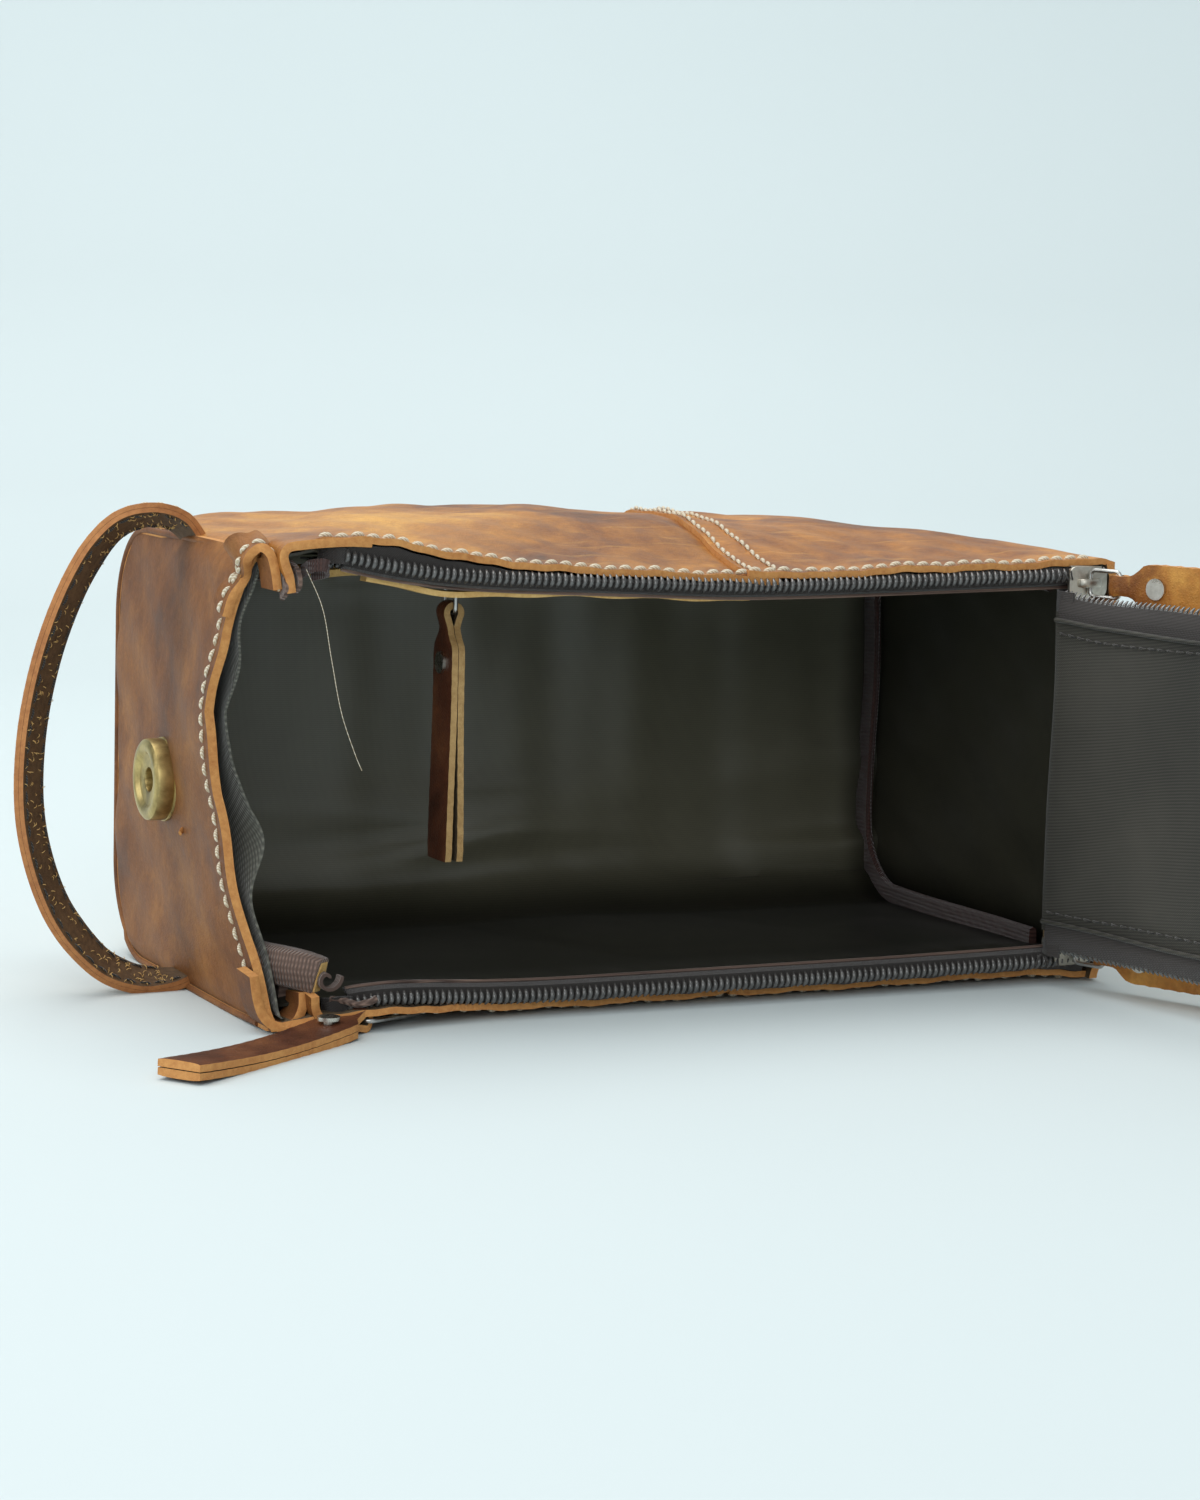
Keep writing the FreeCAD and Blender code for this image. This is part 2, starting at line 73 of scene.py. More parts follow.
# Stations along the mouth: x, lip heights z, and where the front edges lie in y
LIP_X = [-101, -99, -92, -84, -75, -67, -55, -40, -28, 5, 25, 45, 65, 81, 92, 101]
LIP_UP = [99.6, 100.6, 102.4, 102.8, 101.8, 100.0, 97.8, 96.2,
          95.2, 93.9, 94.2, 95.3, 96.0, 96.4, 97.0, 98.0]
LIP_LOW = [0.5, 0.6, 2.7, 3.5, 3.4, 3.1, 2.2, 1.5, 1.2, 1.3, 1.2, 1.3, 1.5, 1.7, 1.2, 0.5]
FRONT_UP = [-52, -53.5, -55.5, -56, -55.5, -54.5, -53.6, -53.2,
            -53, -53, -53.1, -53.2, -53, -53, -53, -52.5]
FRONT_LOW = [-52, -54, -57.5, -59.0, -58.0, -56.0, -53.6, -51.5,
             -50.5, -49.8, -49.8, -49.8, -49.8, -50, -50.5, -51.5]
# Crown of the top panel: x, added height
CROWN_X = [-101, -86, -49, -20, 10, 48, 80, 101]
CROWN_RISE = [0.2, 1.5, 4.2, 4.0, 3.2, 1.8, -0.3, -2.2]
# Left gusset's mouth edge: height z, set back in y, bulge towards -X
EDGE_Z = [0.0, 3.6, 19, 34, 48, 65, 82, 93, 99.5]
EDGE_BACK = [0.3, 0.9, 7.3, 11.9, 15.8, 17.5, 13.5, 9.5, 6.0]
EDGE_BULGE = [0.0, 0.5, 3.1, 5.1, 6.9, 7.9, 6.2, 4.4, 2.6]
# Lines of the two mouth zips: x, z
ZIP_UP_X = [-87, -84, -80, -75, -67, -55, -40, -28, 5, 25, 45, 65, 81, 86, 97]
ZIP_UP_Z = [98.9, 98.0, 97.3, 96.3, 95.0, 94.0, 93.3, 92.9,
            91.6, 91.8, 92.3, 92.8, 93.2, 93.4, 93.6]
ZIP_LOW_X = [-85, -82, -78, -70, -60, -50, -35, 3, 45, 84, 97]
ZIP_LOW_Z = [5.4, 6.0, 6.4, 6.3, 5.6, 5.0, 4.7, 4.8, 4.9, 5.4, 5.8]

SLIDER_X = 92.3                           # mouth zip sliders
SLIDER_Z = {"upper": 91.8, "lower": 8.2}
OUTER_TILT = 8.53                         # degrees the pocket zip under the body leans
POCKET_Y, POCKET_Z = -45.0, 1.8           # middle of that zip

LID_OPEN = radians(100)
HINGE = np.array([85.25, -53.2, 0.0])
LID_LENGTH = 166.0
LID_MID_Z, LID_HALF = 50.0, 38.8
LID_EDGE_Z = 36.2                         # stitching and inner tape edge, from the lid's middle
TONGUE_X, TONGUE_Y = -195.1, -1.0         # where the tongue starts, in the closed lid's frame
TONGUE_Z = 47.0


# ------------------------------------------------------------------ shader helpers
class Shader:
    """A new material, and short calls that add nodes to it."""

    def __init__(self, name):
        self.material = bpy.data.materials.new(name)
        self.material.use_nodes = True
        self.tree = self.material.node_tree
        self.principled = self.tree.nodes["Principled BSDF"]

    def feed(self, node, inputs):
        for key, value in inputs.items():
            socket = node.inputs[key]
            if isinstance(value, bpy.types.NodeSocket):
                self.tree.links.new(value, socket)
            elif socket.type == "RGBA":
                socket.default_value = (*value, 1)
            else:
                socket.default_value = value

    def surface(self, inputs):
        self.feed(self.principled, inputs)

    def node(self, kind, inputs, **settings):
        made = self.tree.nodes.new(kind)
        for key, value in settings.items():
            setattr(made, key, value)
        self.feed(made, inputs)
        return made

    def coords(self, scale=(1, 1, 1), rot=(0, 0, 0)):
        source = self.node("ShaderNodeTexCoord", {}).outputs["Object"]
        mapping = {"Vector": source, "Scale": scale, "Rotation": rot}
        return self.node("ShaderNodeMapping", mapping).outputs["Vector"]

    def noise(self, at, scale, detail=4.0, rough=0.55, distort=0.0):
        inputs = {"Vector": at, "Scale": scale, "Detail": detail, "Roughness": rough,
                  "Distortion": distort}
        return self.node("ShaderNodeTexNoise", inputs).outputs["Fac"]

    def ramp(self, factor, stops):
        made = self.node("ShaderNodeValToRGB", {"Fac": factor})
        elements = made.color_ramp.elements
        while len(elements) > 1:
            elements.remove(elements[-1])
        elements[0].position = stops[0][0]
        elements[0].color = (*stops[0][1], 1)
        for position, color in stops[1:]:
            elements.new(position).color = (*color, 1)
        return made.outputs["Color"]

    def mix(self, factor, first, second, mode="MIX"):
        inputs = {0: factor, 6: first, 7: second}
        return self.node("ShaderNodeMix", inputs, data_type="RGBA", blend_type=mode).outputs[2]

    def math(self, operation, first, second):
        return self.node("ShaderNodeMath", {0: first, 1: second}, operation=operation).outputs[0]

    def scaled(self, value, gain, base):
        """value * gain + base"""
        return self.math("ADD", self.math("MULTIPLY", value, gain), base)

    def weigh(self, first, weight, second, other_weight):
        """The weighted sum of two values."""
        return self.math("ADD", self.math("MULTIPLY", first, weight),
                         self.math("MULTIPLY", second, other_weight))

    def bump(self, height, strength, distance):
        inputs = {"Height": height, "Strength": strength, "Distance": distance}
        self.surface({"Normal": self.node("ShaderNodeBump", inputs).outputs["Normal"]})


# ------------------------------------------------------------------ material kinds
def leather(name, stops, mottle, rough=(0.38, 0.6), streak=0.25, specular=0.28):
    """Mottled hide with slanting scratches and a pebbled grain."""
    sh = Shader(name)
    at = sh.coords()
    broad = sh.noise(at, scale=mottle, detail=6, rough=0.62, distort=0.6)
    middle = sh.noise(at, scale=mottle * 6, detail=5, rough=0.6, distort=0.3)
    color = sh.ramp(sh.weigh(broad, 0.72, middle, 0.28), stops)
    slanted = sh.coords(scale=(30, 420, 420), rot=(0.0, 0.0, 0.5))
    scratch = sh.noise(slanted, scale=1.0, detail=3, rough=0.5, distort=0.2)
    scratch = sh.ramp(scratch, [(0.60, (0, 0, 0)), (0.68, (1, 1, 1))])
    color = sh.mix(sh.math("MULTIPLY", scratch, streak), color, stops[-1][1])
    fine = sh.noise(at, scale=900, detail=2, rough=0.5)
    grey = sh.ramp(fine, [(0.3, (0.35, 0.35, 0.35)), (0.7, (0.65, 0.65, 0.65))])
    sh.surface({
        "Base Color": sh.mix(0.35, color, grey, "OVERLAY"),
        "Roughness": sh.scaled(middle, rough[1] - rough[0], rough[0]),
        "Specular IOR Level": specular})
    pebbles = sh.node("ShaderNodeTexVoronoi", {"Vector": at, "Scale": 1500},
                      feature="DISTANCE_TO_EDGE").outputs["Distance"]
    creases = sh.noise(at, scale=260, detail=6, rough=0.65)
    sh.bump(sh.weigh(pebbles, 0.8, creases, 1.5), strength=0.35, distance=0.0005)
    return sh.material


def raw_edge(name, dark, light):
    """Fibrous cut leather."""
    sh = Shader(name)
    at = sh.coords()
    fibres = sh.noise(at, scale=700, detail=5, rough=0.7)
    patches = sh.noise(at, scale=60, detail=4, rough=0.6)
    tone = sh.weigh(fibres, 0.6, patches, 0.4)
    sh.surface({"Base Color": sh.ramp(tone, [(0.3, dark), (0.7, light)]), "Roughness": 0.78})
    sh.bump(fibres, strength=0.7, distance=0.0005)
    return sh.material


RIB_RATE = 3.1415                         # cloth frequency that gives a wave scale of 1


def cloth(name, dark, light, freq, rot, rough, strength, sheen=0.3, axis="X",
          stops=(0.2, 0.8), shaded=False):
    """Woven cloth: fine ribs along one axis crossed by a coarser set, with slow colour drift;
    shaded adds painted shade.
    """
    sh = Shader(name)
    at = sh.coords(rot=rot)
    ribs = []
    for direction, share in ((axis, 1.0), ("Z", 0.5)):
        inputs = {"Vector": at, "Scale": freq * share / RIB_RATE, "Distortion": 0.4,
                  "Detail": 1.0}
        wave = sh.node("ShaderNodeTexWave", inputs, wave_type="BANDS",
                       bands_direction=direction)
        ribs.append(wave.outputs["Fac"])
    weave = sh.math("MULTIPLY", ribs[0], sh.scaled(ribs[1], 0.6, 0.4))
    drift = sh.noise(at, scale=22, detail=5, rough=0.6, distort=0.3)
    tone = sh.weigh(weave, 0.45, drift, 0.55)
    color = sh.ramp(tone, [(stops[0], dark), (stops[1], light)])
    sh.surface({
        "Base Color": color,
        "Roughness": sh.scaled(drift, 0.2, rough - 0.1),
        "Sheen Weight": sheen,
        "Sheen Roughness": 0.4})
    sh.bump(weave, strength=strength, distance=0.0003)
    # painted shade on the lining, low down and at the hinge end
    if shaded:
        shade_inside(sh, color)
    return sh.material


def shade_inside(sh, color):
    """Painted shade: darken the cloth's colour and cut its specular and sheen, low down where it
    lies on the floor and towards the hinge end.
    """
    source = sh.node("ShaderNodeTexCoord", {}).outputs["Object"]
    place = sh.node("ShaderNodeSeparateXYZ", {0: source}).outputs
    fades = []
    # axis, from here to there (metres), brightness at each
    for axis, start, end, first, last in (("Z", 0.005, 0.019, 0.16, 1.0),
                                          ("X", 0.086, 0.094, 1.0, 0.36)):
        inputs = {"Value": place[axis], "From Min": start, "From Max": end, "To Min": first,
                  "To Max": last}
        made = sh.node("ShaderNodeMapRange", inputs, interpolation_type="SMOOTHSTEP")
        fades.append(made.outputs[0])
    shade = sh.math("MULTIPLY", *fades)
    dimmed = sh.node("ShaderNodeVectorMath", {0: color, "Scale": shade}, operation="SCALE")
    sh.surface({
        "Base Color": dimmed.outputs[0],
        "Specular IOR Level": sh.math("MULTIPLY", shade, 0.55),
        "Sheen Weight": sh.math("MULTIPLY", shade, 0.2)})


def metal(name, base, dark, rough, patina=120):
    """Metal with a blotchy patina and fine brushing."""
    sh = Shader(name)
    blotches = sh.noise(sh.coords(), scale=patina, detail=6, rough=0.65, distort=0.4)
    brushing = sh.noise(sh.coords(scale=(300, 3000, 300)), scale=1.0, detail=3, rough=0.6)
    sh.surface({
        "Base Color": sh.ramp(blotches, [(0.35, dark), (0.62, base)]),
        "Metallic": 1.0,
        "Roughness": sh.scaled(blotches, 0.25, rough)})
    height = sh.math("ADD", blotches, sh.math("MULTIPLY", brushing, 0.5))
    sh.bump(height, strength=0.15, distance=0.0002)
    return sh.material


def nylon(name):
    sh = Shader(name)
    grain = sh.noise(sh.coords(), scale=900, detail=3, rough=0.5)
    sh.surface({
        "Base Color": sh.ramp(grain, [(0.3, (0.045, 0.042, 0.040)), (0.7, (0.12, 0.115, 0.11))]),
        "Roughness": sh.scaled(grain, 0.14, 0.10),
        "Specular IOR Level": 0.95})
    sh.bump(grain, strength=0.1, distance=0.0001)
    return sh.material


def thread(name, dark, light):
    """Twisted thread, banded on the diagonal."""
    sh = Shader(name)
    twist = sh.node("ShaderNodeTexWave", {"Scale": 900, "Vector": sh.coords()},
                    wave_type="BANDS", bands_direction="DIAGONAL").outputs["Fac"]
    sh.surface({
        "Base Color": sh.ramp(twist, [(0.2, dark), (0.7, light)]),
        "Roughness": 0.6,
        "Sheen Weight": 0.3})
    sh.bump(twist, strength=0.6, distance=0.0002)
    return sh.material


def paint(name, color):
    """Matt backdrop paint with a faint drift."""
    sh = Shader(name)
    drift = sh.noise(sh.coords(), scale=3, detail=3, rough=0.5)
    darker = tuple(channel * 0.985 for channel in color)
    sh.surface({"Base Color": sh.ramp(drift, [(0.3, darker), (0.7, color)]), "Roughness": 0.9})
    return sh.material


# ------------------------------------------------------------------ materials
TAN = leather(
    "leather_tan_pullup", mottle=15, specular=0.3,
    stops=[(0.32, (0.060, 0.020, 0.006)), (0.43, (0.21, 0.072, 0.015)),
           (0.53, (0.41, 0.165, 0.030)), (0.66, (0.66, 0.34, 0.075))])
TAN_RIGHT = leather(
    "leather_tan_right", mottle=19, specular=0.3,
    stops=[(0.32, (0.070, 0.023, 0.007)), (0.44, (0.24, 0.082, 0.017)),
           (0.55, (0.44, 0.175, 0.033)), (0.7, (0.68, 0.35, 0.080))])
BROWN = leather(
    "leather_brown_matte", mottle=24, rough=(0.45, 0.68), streak=0.12, specular=0.3,
    stops=[(0.30, (0.070, 0.026, 0.010)), (0.44, (0.155, 0.056, 0.018)),
           (0.56, (0.245, 0.098, 0.030)), (0.72, (0.42, 0.19, 0.058))])
PULL_FACE = leather(
    "leather_pull_face", mottle=45, rough=(0.34, 0.55), streak=0.15,
    stops=[(0.30, (0.035, 0.012, 0.007)), (0.5, (0.10, 0.033, 0.016)),
           (0.68, (0.20, 0.075, 0.03))])
RAW_WELT = leather(
    "leather_raw_welt", mottle=40, rough=(0.5, 0.7), streak=0.1,
    stops=[(0.3, (0.42, 0.22, 0.07)), (0.5, (0.60, 0.37, 0.13)), (0.7, (0.75, 0.52, 0.22))])
EDGE = raw_edge("cut_edge_orange", dark=(0.42, 0.15, 0.035), light=(0.72, 0.36, 0.11))
EDGE_YELLOW = raw_edge("cut_edge_yellow", dark=(0.50, 0.27, 0.07), light=(0.80, 0.55, 0.22))
EDGE_PALE = raw_edge("cut_edge_pale", dark=(0.30, 0.16, 0.05), light=(0.58, 0.38, 0.16))
FLESH = raw_edge("flesh_side_fuzzy", dark=(0.035, 0.024, 0.014), light=(0.17, 0.115, 0.06))
# the satin lining carries painted shade low down and at the hinge end (shaded=True)
SATIN = cloth("satin_lining", dark=(0.078, 0.074, 0.050), light=(0.180, 0.168, 0.116),
              freq=4200, rot=(0, 0, 0.6), rough=0.34, sheen=0.2, strength=0.02, shaded=True)
# the lid lining's drift has extra contrast (narrow stops): its light patches are part cloth
# tone, part painted sheen
TWILL = cloth("twill_lining_lid", dark=(0.014, 0.013, 0.009), light=(0.078, 0.070, 0.054),
              freq=3600, rot=(0, 0.7, 0.3), rough=0.62, strength=0.3, stops=(0.36, 0.66))
TWILL_LEFT = cloth("twill_lining_left", dark=(0.045, 0.045, 0.036), light=(0.19, 0.185, 0.15),
                   freq=1300, rot=(0.7, 0, 0), rough=0.7, strength=0.6, axis="Y")
RIBBED = cloth("grosgrain_binding", dark=(0.055, 0.030, 0.022), light=(0.26, 0.165, 0.125),
               freq=1500, rot=(0, 0, 0), rough=0.7, strength=0.9, axis="Y")
RIBBED_RED = cloth("grosgrain_binding_red", dark=(0.028, 0.010, 0.008),
                   light=(0.080, 0.030, 0.022), freq=2000, rot=(0, 0, 0), rough=0.65,
                   strength=0.9, axis="Y")
TAPE = cloth("zip_tape_weave", dark=(0.016, 0.012, 0.011), light=(0.060, 0.048, 0.042),
             freq=5200, rot=(0, 0.78, 0), rough=0.72, sheen=0.25, strength=0.7)
NYLON = nylon("nylon_coil")
THREAD = thread("thread_cream", dark=(0.55, 0.44, 0.28), light=(0.82, 0.74, 0.58))
THREAD_DARK = thread("thread_dark", dark=(0.006, 0.005, 0.004), light=(0.035, 0.028, 0.020))
NICKEL = metal("antique_nickel", base=(0.62, 0.59, 0.52), dark=(0.24, 0.21, 0.17), rough=0.28)
WIRE = metal("nickel_wire", base=(0.60, 0.60, 0.58), dark=(0.30, 0.29, 0.27), rough=0.2)
RIVET = metal("rivet_nickel", base=(0.78, 0.76, 0.70), dark=(0.45, 0.42, 0.36), rough=0.16)
BRASS = metal("antique_brass", base=(0.60, 0.47, 0.20), dark=(0.26, 0.19, 0.075),
              rough=0.26, patina=160)
STEEL = metal("plain_steel", base=(0.5, 0.5, 0.5), dark=(0.3, 0.3, 0.3), rough=0.3)

# Slots of a leather sheet: outer face, under face, cut rim
TAN_SHEET = [TAN, FLESH, EDGE]


# ------------------------------------------------------------------ vector and path helpers
def unit(vectors):
    return vectors / (np.linalg.norm(vectors, axis=-1, keepdims=True) + 1e-12)


def points(x, y, z):
    """Stack coordinates, broadcast together, on a last axis."""
    return np.stack(np.broadcast_arrays(x, y, z), -1).astype(float)


def smoothstep(start, end, x):
    t = np.clip((x - start) / (end - start), 0, 1)
    return t * t * (3 - 2 * t)


def dip(x, centre, width):
    """Bell curve of height 1."""
    return np.exp(-((x - centre) / width) ** 2)


def turn_about_x(pts, degrees):
    c, s = cos(radians(degrees)), sin(radians(degrees))
    return pts @ np.array([[1, 0, 0], [0, c, s], [0, -s, c]])


def frames_of(path, up):
    """Unit tangent, side and up vectors along a path."""
    tangent = unit(np.gradient(path, axis=0))
    side = unit(np.cross(tangent, np.broadcast_to(np.asarray(up, float), path.shape)))
    return tangent, side, np.cross(side, tangent)


def outward(path):
    """Normals of a path round the body, in its YZ plane and pointing out."""
    normal = np.cross(np.gradient(path, axis=0), (1.0, 0, 0))
    return normal * np.sign((normal * (path - (0, 0, 50.0))).sum(1, keepdims=True))


def lengths_of(path):
    return np.r_[0, np.cumsum(np.linalg.norm(np.diff(path, axis=0), axis=1))]


def sample(at, lengths, values):
    return np.stack([np.interp(at, lengths, values[:, c]) for c in range(3)], 1)


def smooth_path(knots, count=160):
    """Catmull-Rom curve through the knots."""
    knots = np.asarray(knots, float)
    padded = np.vstack([2 * knots[0] - knots[1], knots, 2 * knots[-1] - knots[-2]])
    spans = len(knots) - 1
    out = []
    for t in np.linspace(0, spans, count):
        i = min(int(t), spans - 1)
        t -= i
        k0, k1, k2, k3 = padded[i:i + 4]
        out.append(0.5 * (2 * k1 + (k2 - k0) * t + (2 * k0 - 5 * k1 + 4 * k2 - k3) * t * t
                          + (3 * k1 - k0 - 3 * k2 + k3) * t ** 3))
    return np.array(out)


def ease(path, reach=9):
    """Moving average that keeps the end points."""
    padded = np.vstack([np.repeat(path[:1], reach, 0), path, np.repeat(path[-1:], reach, 0)])
    kernel = np.ones(2 * reach + 1) / (2 * reach + 1)
    out = np.stack([np.convolve(padded[:, c], kernel, "valid") for c in range(3)], 1)
    out[0], out[-1] = path[0], path[-1]
    return out


def circle(radius, count, squash=1.0):
    angle = np.arange(count) / count * 2 * pi
    return np.stack([radius * np.cos(angle), radius * squash * np.sin(angle)], 1)


def flat_bar(half_thick, half_high):
    return [(-half_thick, -half_high), (half_thick, -half_high),
            (half_thick, half_high), (-half_thick, half_high)]


# ------------------------------------------------------------------ mesh helpers
def make(name, verts, faces, mats, mat_ids=None, angle=40, body="shell", cad=None):
    """Mesh object that rides a body (unless None) and stands in for a CAD piece, if given."""
    mesh = bpy.data.meshes.new(name)
    mesh.from_pydata([tuple(v) for v in np.asarray(verts) * MM], [],
                     [tuple(int(i) for i in f) for f in faces])
    for mat in mats:
        mesh.materials.append(mat)
    if mat_ids is not None:
        mesh.polygons.foreach_set("material_index", np.asarray(mat_ids, dtype=np.int32))
    mesh.validate()
    mesh.shade_smooth()
    mesh.set_sharp_from_angle(angle=radians(angle))
    mesh.update()
    made = bpy.data.objects.new(name, mesh)
    bpy.context.scene.collection.objects.link(made)
    if body:
        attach(made, body)
    if cad:
        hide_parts(cad)
    return made


def grid_solid(name, top, under, mats, **fit):
    """A closed sheet between two (n, m, 3) grids; mats are for top, under and the cut rim."""
    n, m = top.shape[:2]
    verts = np.concatenate([top.reshape(-1, 3), under.reshape(-1, 3)])
    o = n * m
    faces, ids = [], []
    for i in range(n - 1):
        for j in range(m - 1):
            a = i * m + j
            faces.append((a, a + 1, a + m + 1, a + m))
            faces.append((o + a, o + a + m, o + a + m + 1, o + a + 1))
            ids += [0, 1]
    rim = [(i * m + j, m, j == 0) for i in range(n - 1) for j in (0, m - 1)]
    for a, step, forward in rim:
        quad = (a, a + step, o + a + step, o + a)
        faces.append(quad if forward else quad[::-1])
    rim_ends = [(i * m + j, i == 0) for j in range(m - 1) for i in (0, n - 1)]
    for a, forward in rim_ends:
        quad = (a, o + a, o + a + 1, a + 1)
        faces.append(quad if forward else quad[::-1])
    ids += [2] * (len(faces) - len(ids))
    return make(name, verts, faces, mats, ids, **fit)


def tube_faces(rings, count, base=0, closed=False):
    """Quads between rings of vertices, then the two caps unless closed."""
    faces = []
    for i in range(rings - (0 if closed else 1)):
        a, b = base + i * count, base + (i + 1) % rings * count
        for j in range(count):
            k = (j + 1) % count
            faces.append((a + j, a + k, b + k, b + j))
    if not closed:
        faces.append(tuple(base + j for j in range(count))[::-1])
        faces.append(tuple(base + (rings - 1) * count + j for j in range(count)))
    return faces


def sweep(name, path, up, profile, mats, mat_ids=None, closed=False, angle=50, **fit):
    """Profile points (side, up) carried along a path, with a material id per profile edge."""
    path = np.asarray(path, float)
    _, side, rise = frames_of(path, up)
    shape = np.asarray(profile, float)
    verts = (path[:, None] + side[:, None] * shape[None, :, :1]
             + rise[:, None] * shape[None, :, 1:]).reshape(-1, 3)
    faces = tube_faces(len(path), len(shape), closed=closed)
    if mat_ids:
        mat_ids = mat_ids * (len(path) - 1) + [max(mat_ids)] * 2
    return make(name, verts, faces, mats, mat_ids, angle=angle, **fit)


def beads(name, centres, along, normals, length, radius, rise, mat, seg=5, ring=7, **fit):
    """Small rods, one at each centre, each arching along its normal."""
    along = unit(along)
    normals = unit(normals - along * (normals * along).sum(1, keepdims=True))
    across = np.cross(along, normals)
    verts, faces = [], []
    stops = np.linspace(-1, 1, seg + 2)
    for c, d, n, b in zip(centres, along, normals, across):
        faces += tube_faces(len(stops), ring, base=len(verts))
        for t in stops:
            middle = c + d * t * length / 2 + n * rise * (1 - t * t * 1.4)
            r = radius * (0.35 if abs(t) > 0.99 else (0.85 if abs(t) > 0.6 else 1.0))
            for q in range(ring):
                a = 2 * pi * q / ring
                verts.append(middle + n * r * cos(a) + b * r * sin(a))
    return make(name, verts, faces, [mat], angle=80, **fit)


def stitch_row(name, path, normals, pitch=3.5, mat=THREAD, radius=0.42, fill=0.8, **fit):
    """Slightly leaning stitches along a path; fill is a stitch's share of the pitch."""
    path = np.asarray(path, float)
    normals = np.broadcast_to(np.asarray(normals, float), path.shape)
    lengths = lengths_of(path)
    at = np.arange(pitch / 2, lengths[-1], pitch)
    along = sample(at + 0.4, lengths, path) - sample(at - 0.4, lengths, path)
    facing = sample(at, lengths, normals)
    lean = 0.10 * unit(np.cross(along, facing))
    return beads(name, sample(at, lengths, path), unit(along) + lean, facing,
                 pitch * fill, radius, 0.25, mat, **fit)


def coil_row(name, path, across, out, width=3.3, **fit):
    """Nylon zip coil: one arched loop per pitch, crossing the zip line."""
    pitch = 1.5
    lengths = lengths_of(path)
    count = max(2, int(round(lengths[-1] / pitch)) + 1)
    path = sample(np.linspace(0, lengths[-1], count), lengths, path)
    along = np.asarray(across, float) + 0.12 * unit(np.gradient(path, axis=0))
    facing = np.broadcast_to(np.asarray(out, float), path.shape)
    return beads(name, path, along, facing, width, 0.52, 0.75, NYLON, seg=4, **fit)


def tape_sheet(name, rows, **fit):
    """A thin woven sheet through rows of points."""
    middle = np.array(rows)
    normal = unit(np.cross(np.gradient(middle, axis=0), np.gradient(middle, axis=1)))
    offset = normal * 0.55 / 2
    return grid_solid(name, middle + offset, middle - offset, [TAPE] * 3, **fit)


def cad_corners(node):
    low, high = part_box(node)
    return np.array(low) / MM, np.array(high) / MM


# ------------------------------------------------------------------ the wrap, in two panels
def lip(x, table):
    return np.interp(x, LIP_X, table) + 0.18 * np.sin(x * 0.31) + 0.12 * np.sin(x * 0.83 + 1.0)


def girth_point(along, front):
    """y, z and outward normal of the plain U: along runs 0..1 from lower to upper mouth."""
    bend_y = BASE_Y - CORNER_R
    d = along * GIRTH
    if d < FLAT:
        return front + (bend_y - front) * d / FLAT, 0.0, (0, -0.12 if d < 20 else 0, -1.0)
    d -= FLAT
    if d < ARC:
        c, s = cos(d / CORNER_R), sin(d / CORNER_R)
        return bend_y + CORNER_R * s, CORNER_R - CORNER_R * c, (0, s, -c)
    d -= ARC
    if d < RISE:
        return BASE_Y, CORNER_R + d, (0, 1.0, 0)
    d -= RISE
    if d < ARC:
        c, s = cos(d / CORNER_R), sin(d / CORNER_R)
        return bend_y + CORNER_R * c, HEIGHT - CORNER_R + CORNER_R * s, (0, c, s)
    d -= ARC
    return bend_y + (front - bend_y) * d / FLAT, HEIGHT, (0, 0, 1.0)


def wrap_point(x, along, depth):
    """Point at a depth under the wrap's outer face."""
    front = np.interp(x, LIP_X, FRONT_UP if along > 0.5 else FRONT_LOW)
    y, z, out = girth_point(along, front)
    out = unit(np.array(out))
    end = smoothstep(0, 14, HALF_X - abs(x))
    if CORNER_R < z < HEIGHT - CORNER_R:
        y += 0.9 * end * sin(pi * (z - CORNER_R) / RISE)
    elif along > 0.5:
        bend_y = BASE_Y - CORNER_R
        z += (lip(x, LIP_UP) - HEIGHT) * smoothstep(0.35, 1.0, (bend_y - y) / (bend_y - front))
    else:
        z += lip(x, LIP_LOW) * (1 - smoothstep(MOUTH_Y, -24, y))
    # the top panel is crowned, and top and base are lightly crumpled
    crown = sum(np.interp(x + shift, CROWN_X, CROWN_RISE) for shift in (-6, 0, 6)) / 3.0
    crown *= 0.08 + 0.92 * smoothstep(MOUTH_Y, 10, y)
    crumple = (0.5 * sin(x * 0.09 + y * 0.06 + 1.3) + 0.35 * sin(x * 0.17 - y * 0.11)
               + 0.22 * sin(x * 0.41 + y * 0.29 + 2.0))
    inland = 0.25 + 0.75 * smoothstep(MOUTH_Y, MOUTH_Y + 25, y)
    z += smoothstep(HEIGHT - 30, HEIGHT, z) * (crown + 0.8 * crumple * end * inland)
    y += 0.4 * crumple * smoothstep(BASE_Y - 12, BASE_Y, y) * end
    point = np.array([x, y, z]) - out * depth
    point[2] = max(point[2], 0.02 + depth)
    # the seamed ends tuck inwards a little
    if z > 4:
        point -= out * 1.6 * (1 - smoothstep(0, 5, HALF_X - abs(x)))
    return point


def wrap_line(x, stations, depth):
    return np.array([wrap_point(x, along, depth) for along in stations])


def seam_x(along):
    """The lap seam slants towards +X from mouth to base."""
    y = girth_point(along, MOUTH_Y)[0]
    return 11.5 + (y - MOUTH_Y) * 15.0 / (BASE_Y - MOUTH_Y)


def lift_left(x, along):
    return -0.9 * smoothstep(-9, -2, x - seam_x(along))


def lift_right(x, along):
    return 0.55 * (1 - smoothstep(3, 12, x - seam_x(along))) if along > 0.31 else 0.0


def wrap_panel(side, x_from, x_to, lift, face):
    """One panel between two x limits, each a function of the place along the girth."""
    outer, inner = [], []
    for along in np.linspace(0, 1, 130):
        spots = [(x, lift(x, along)) for x in np.linspace(x_from(along), x_to(along), 76)]
        outer.append([wrap_point(x, along, -up) for x, up in spots])
        inner.append([wrap_point(x, along, LEATHER_T - 0.6 - up) for x, up in spots])
    grid_solid("wrap_leather_" + side, np.array(outer), np.array(inner), [face, FLESH, EDGE],
               cad="wrap_panel_" + side)


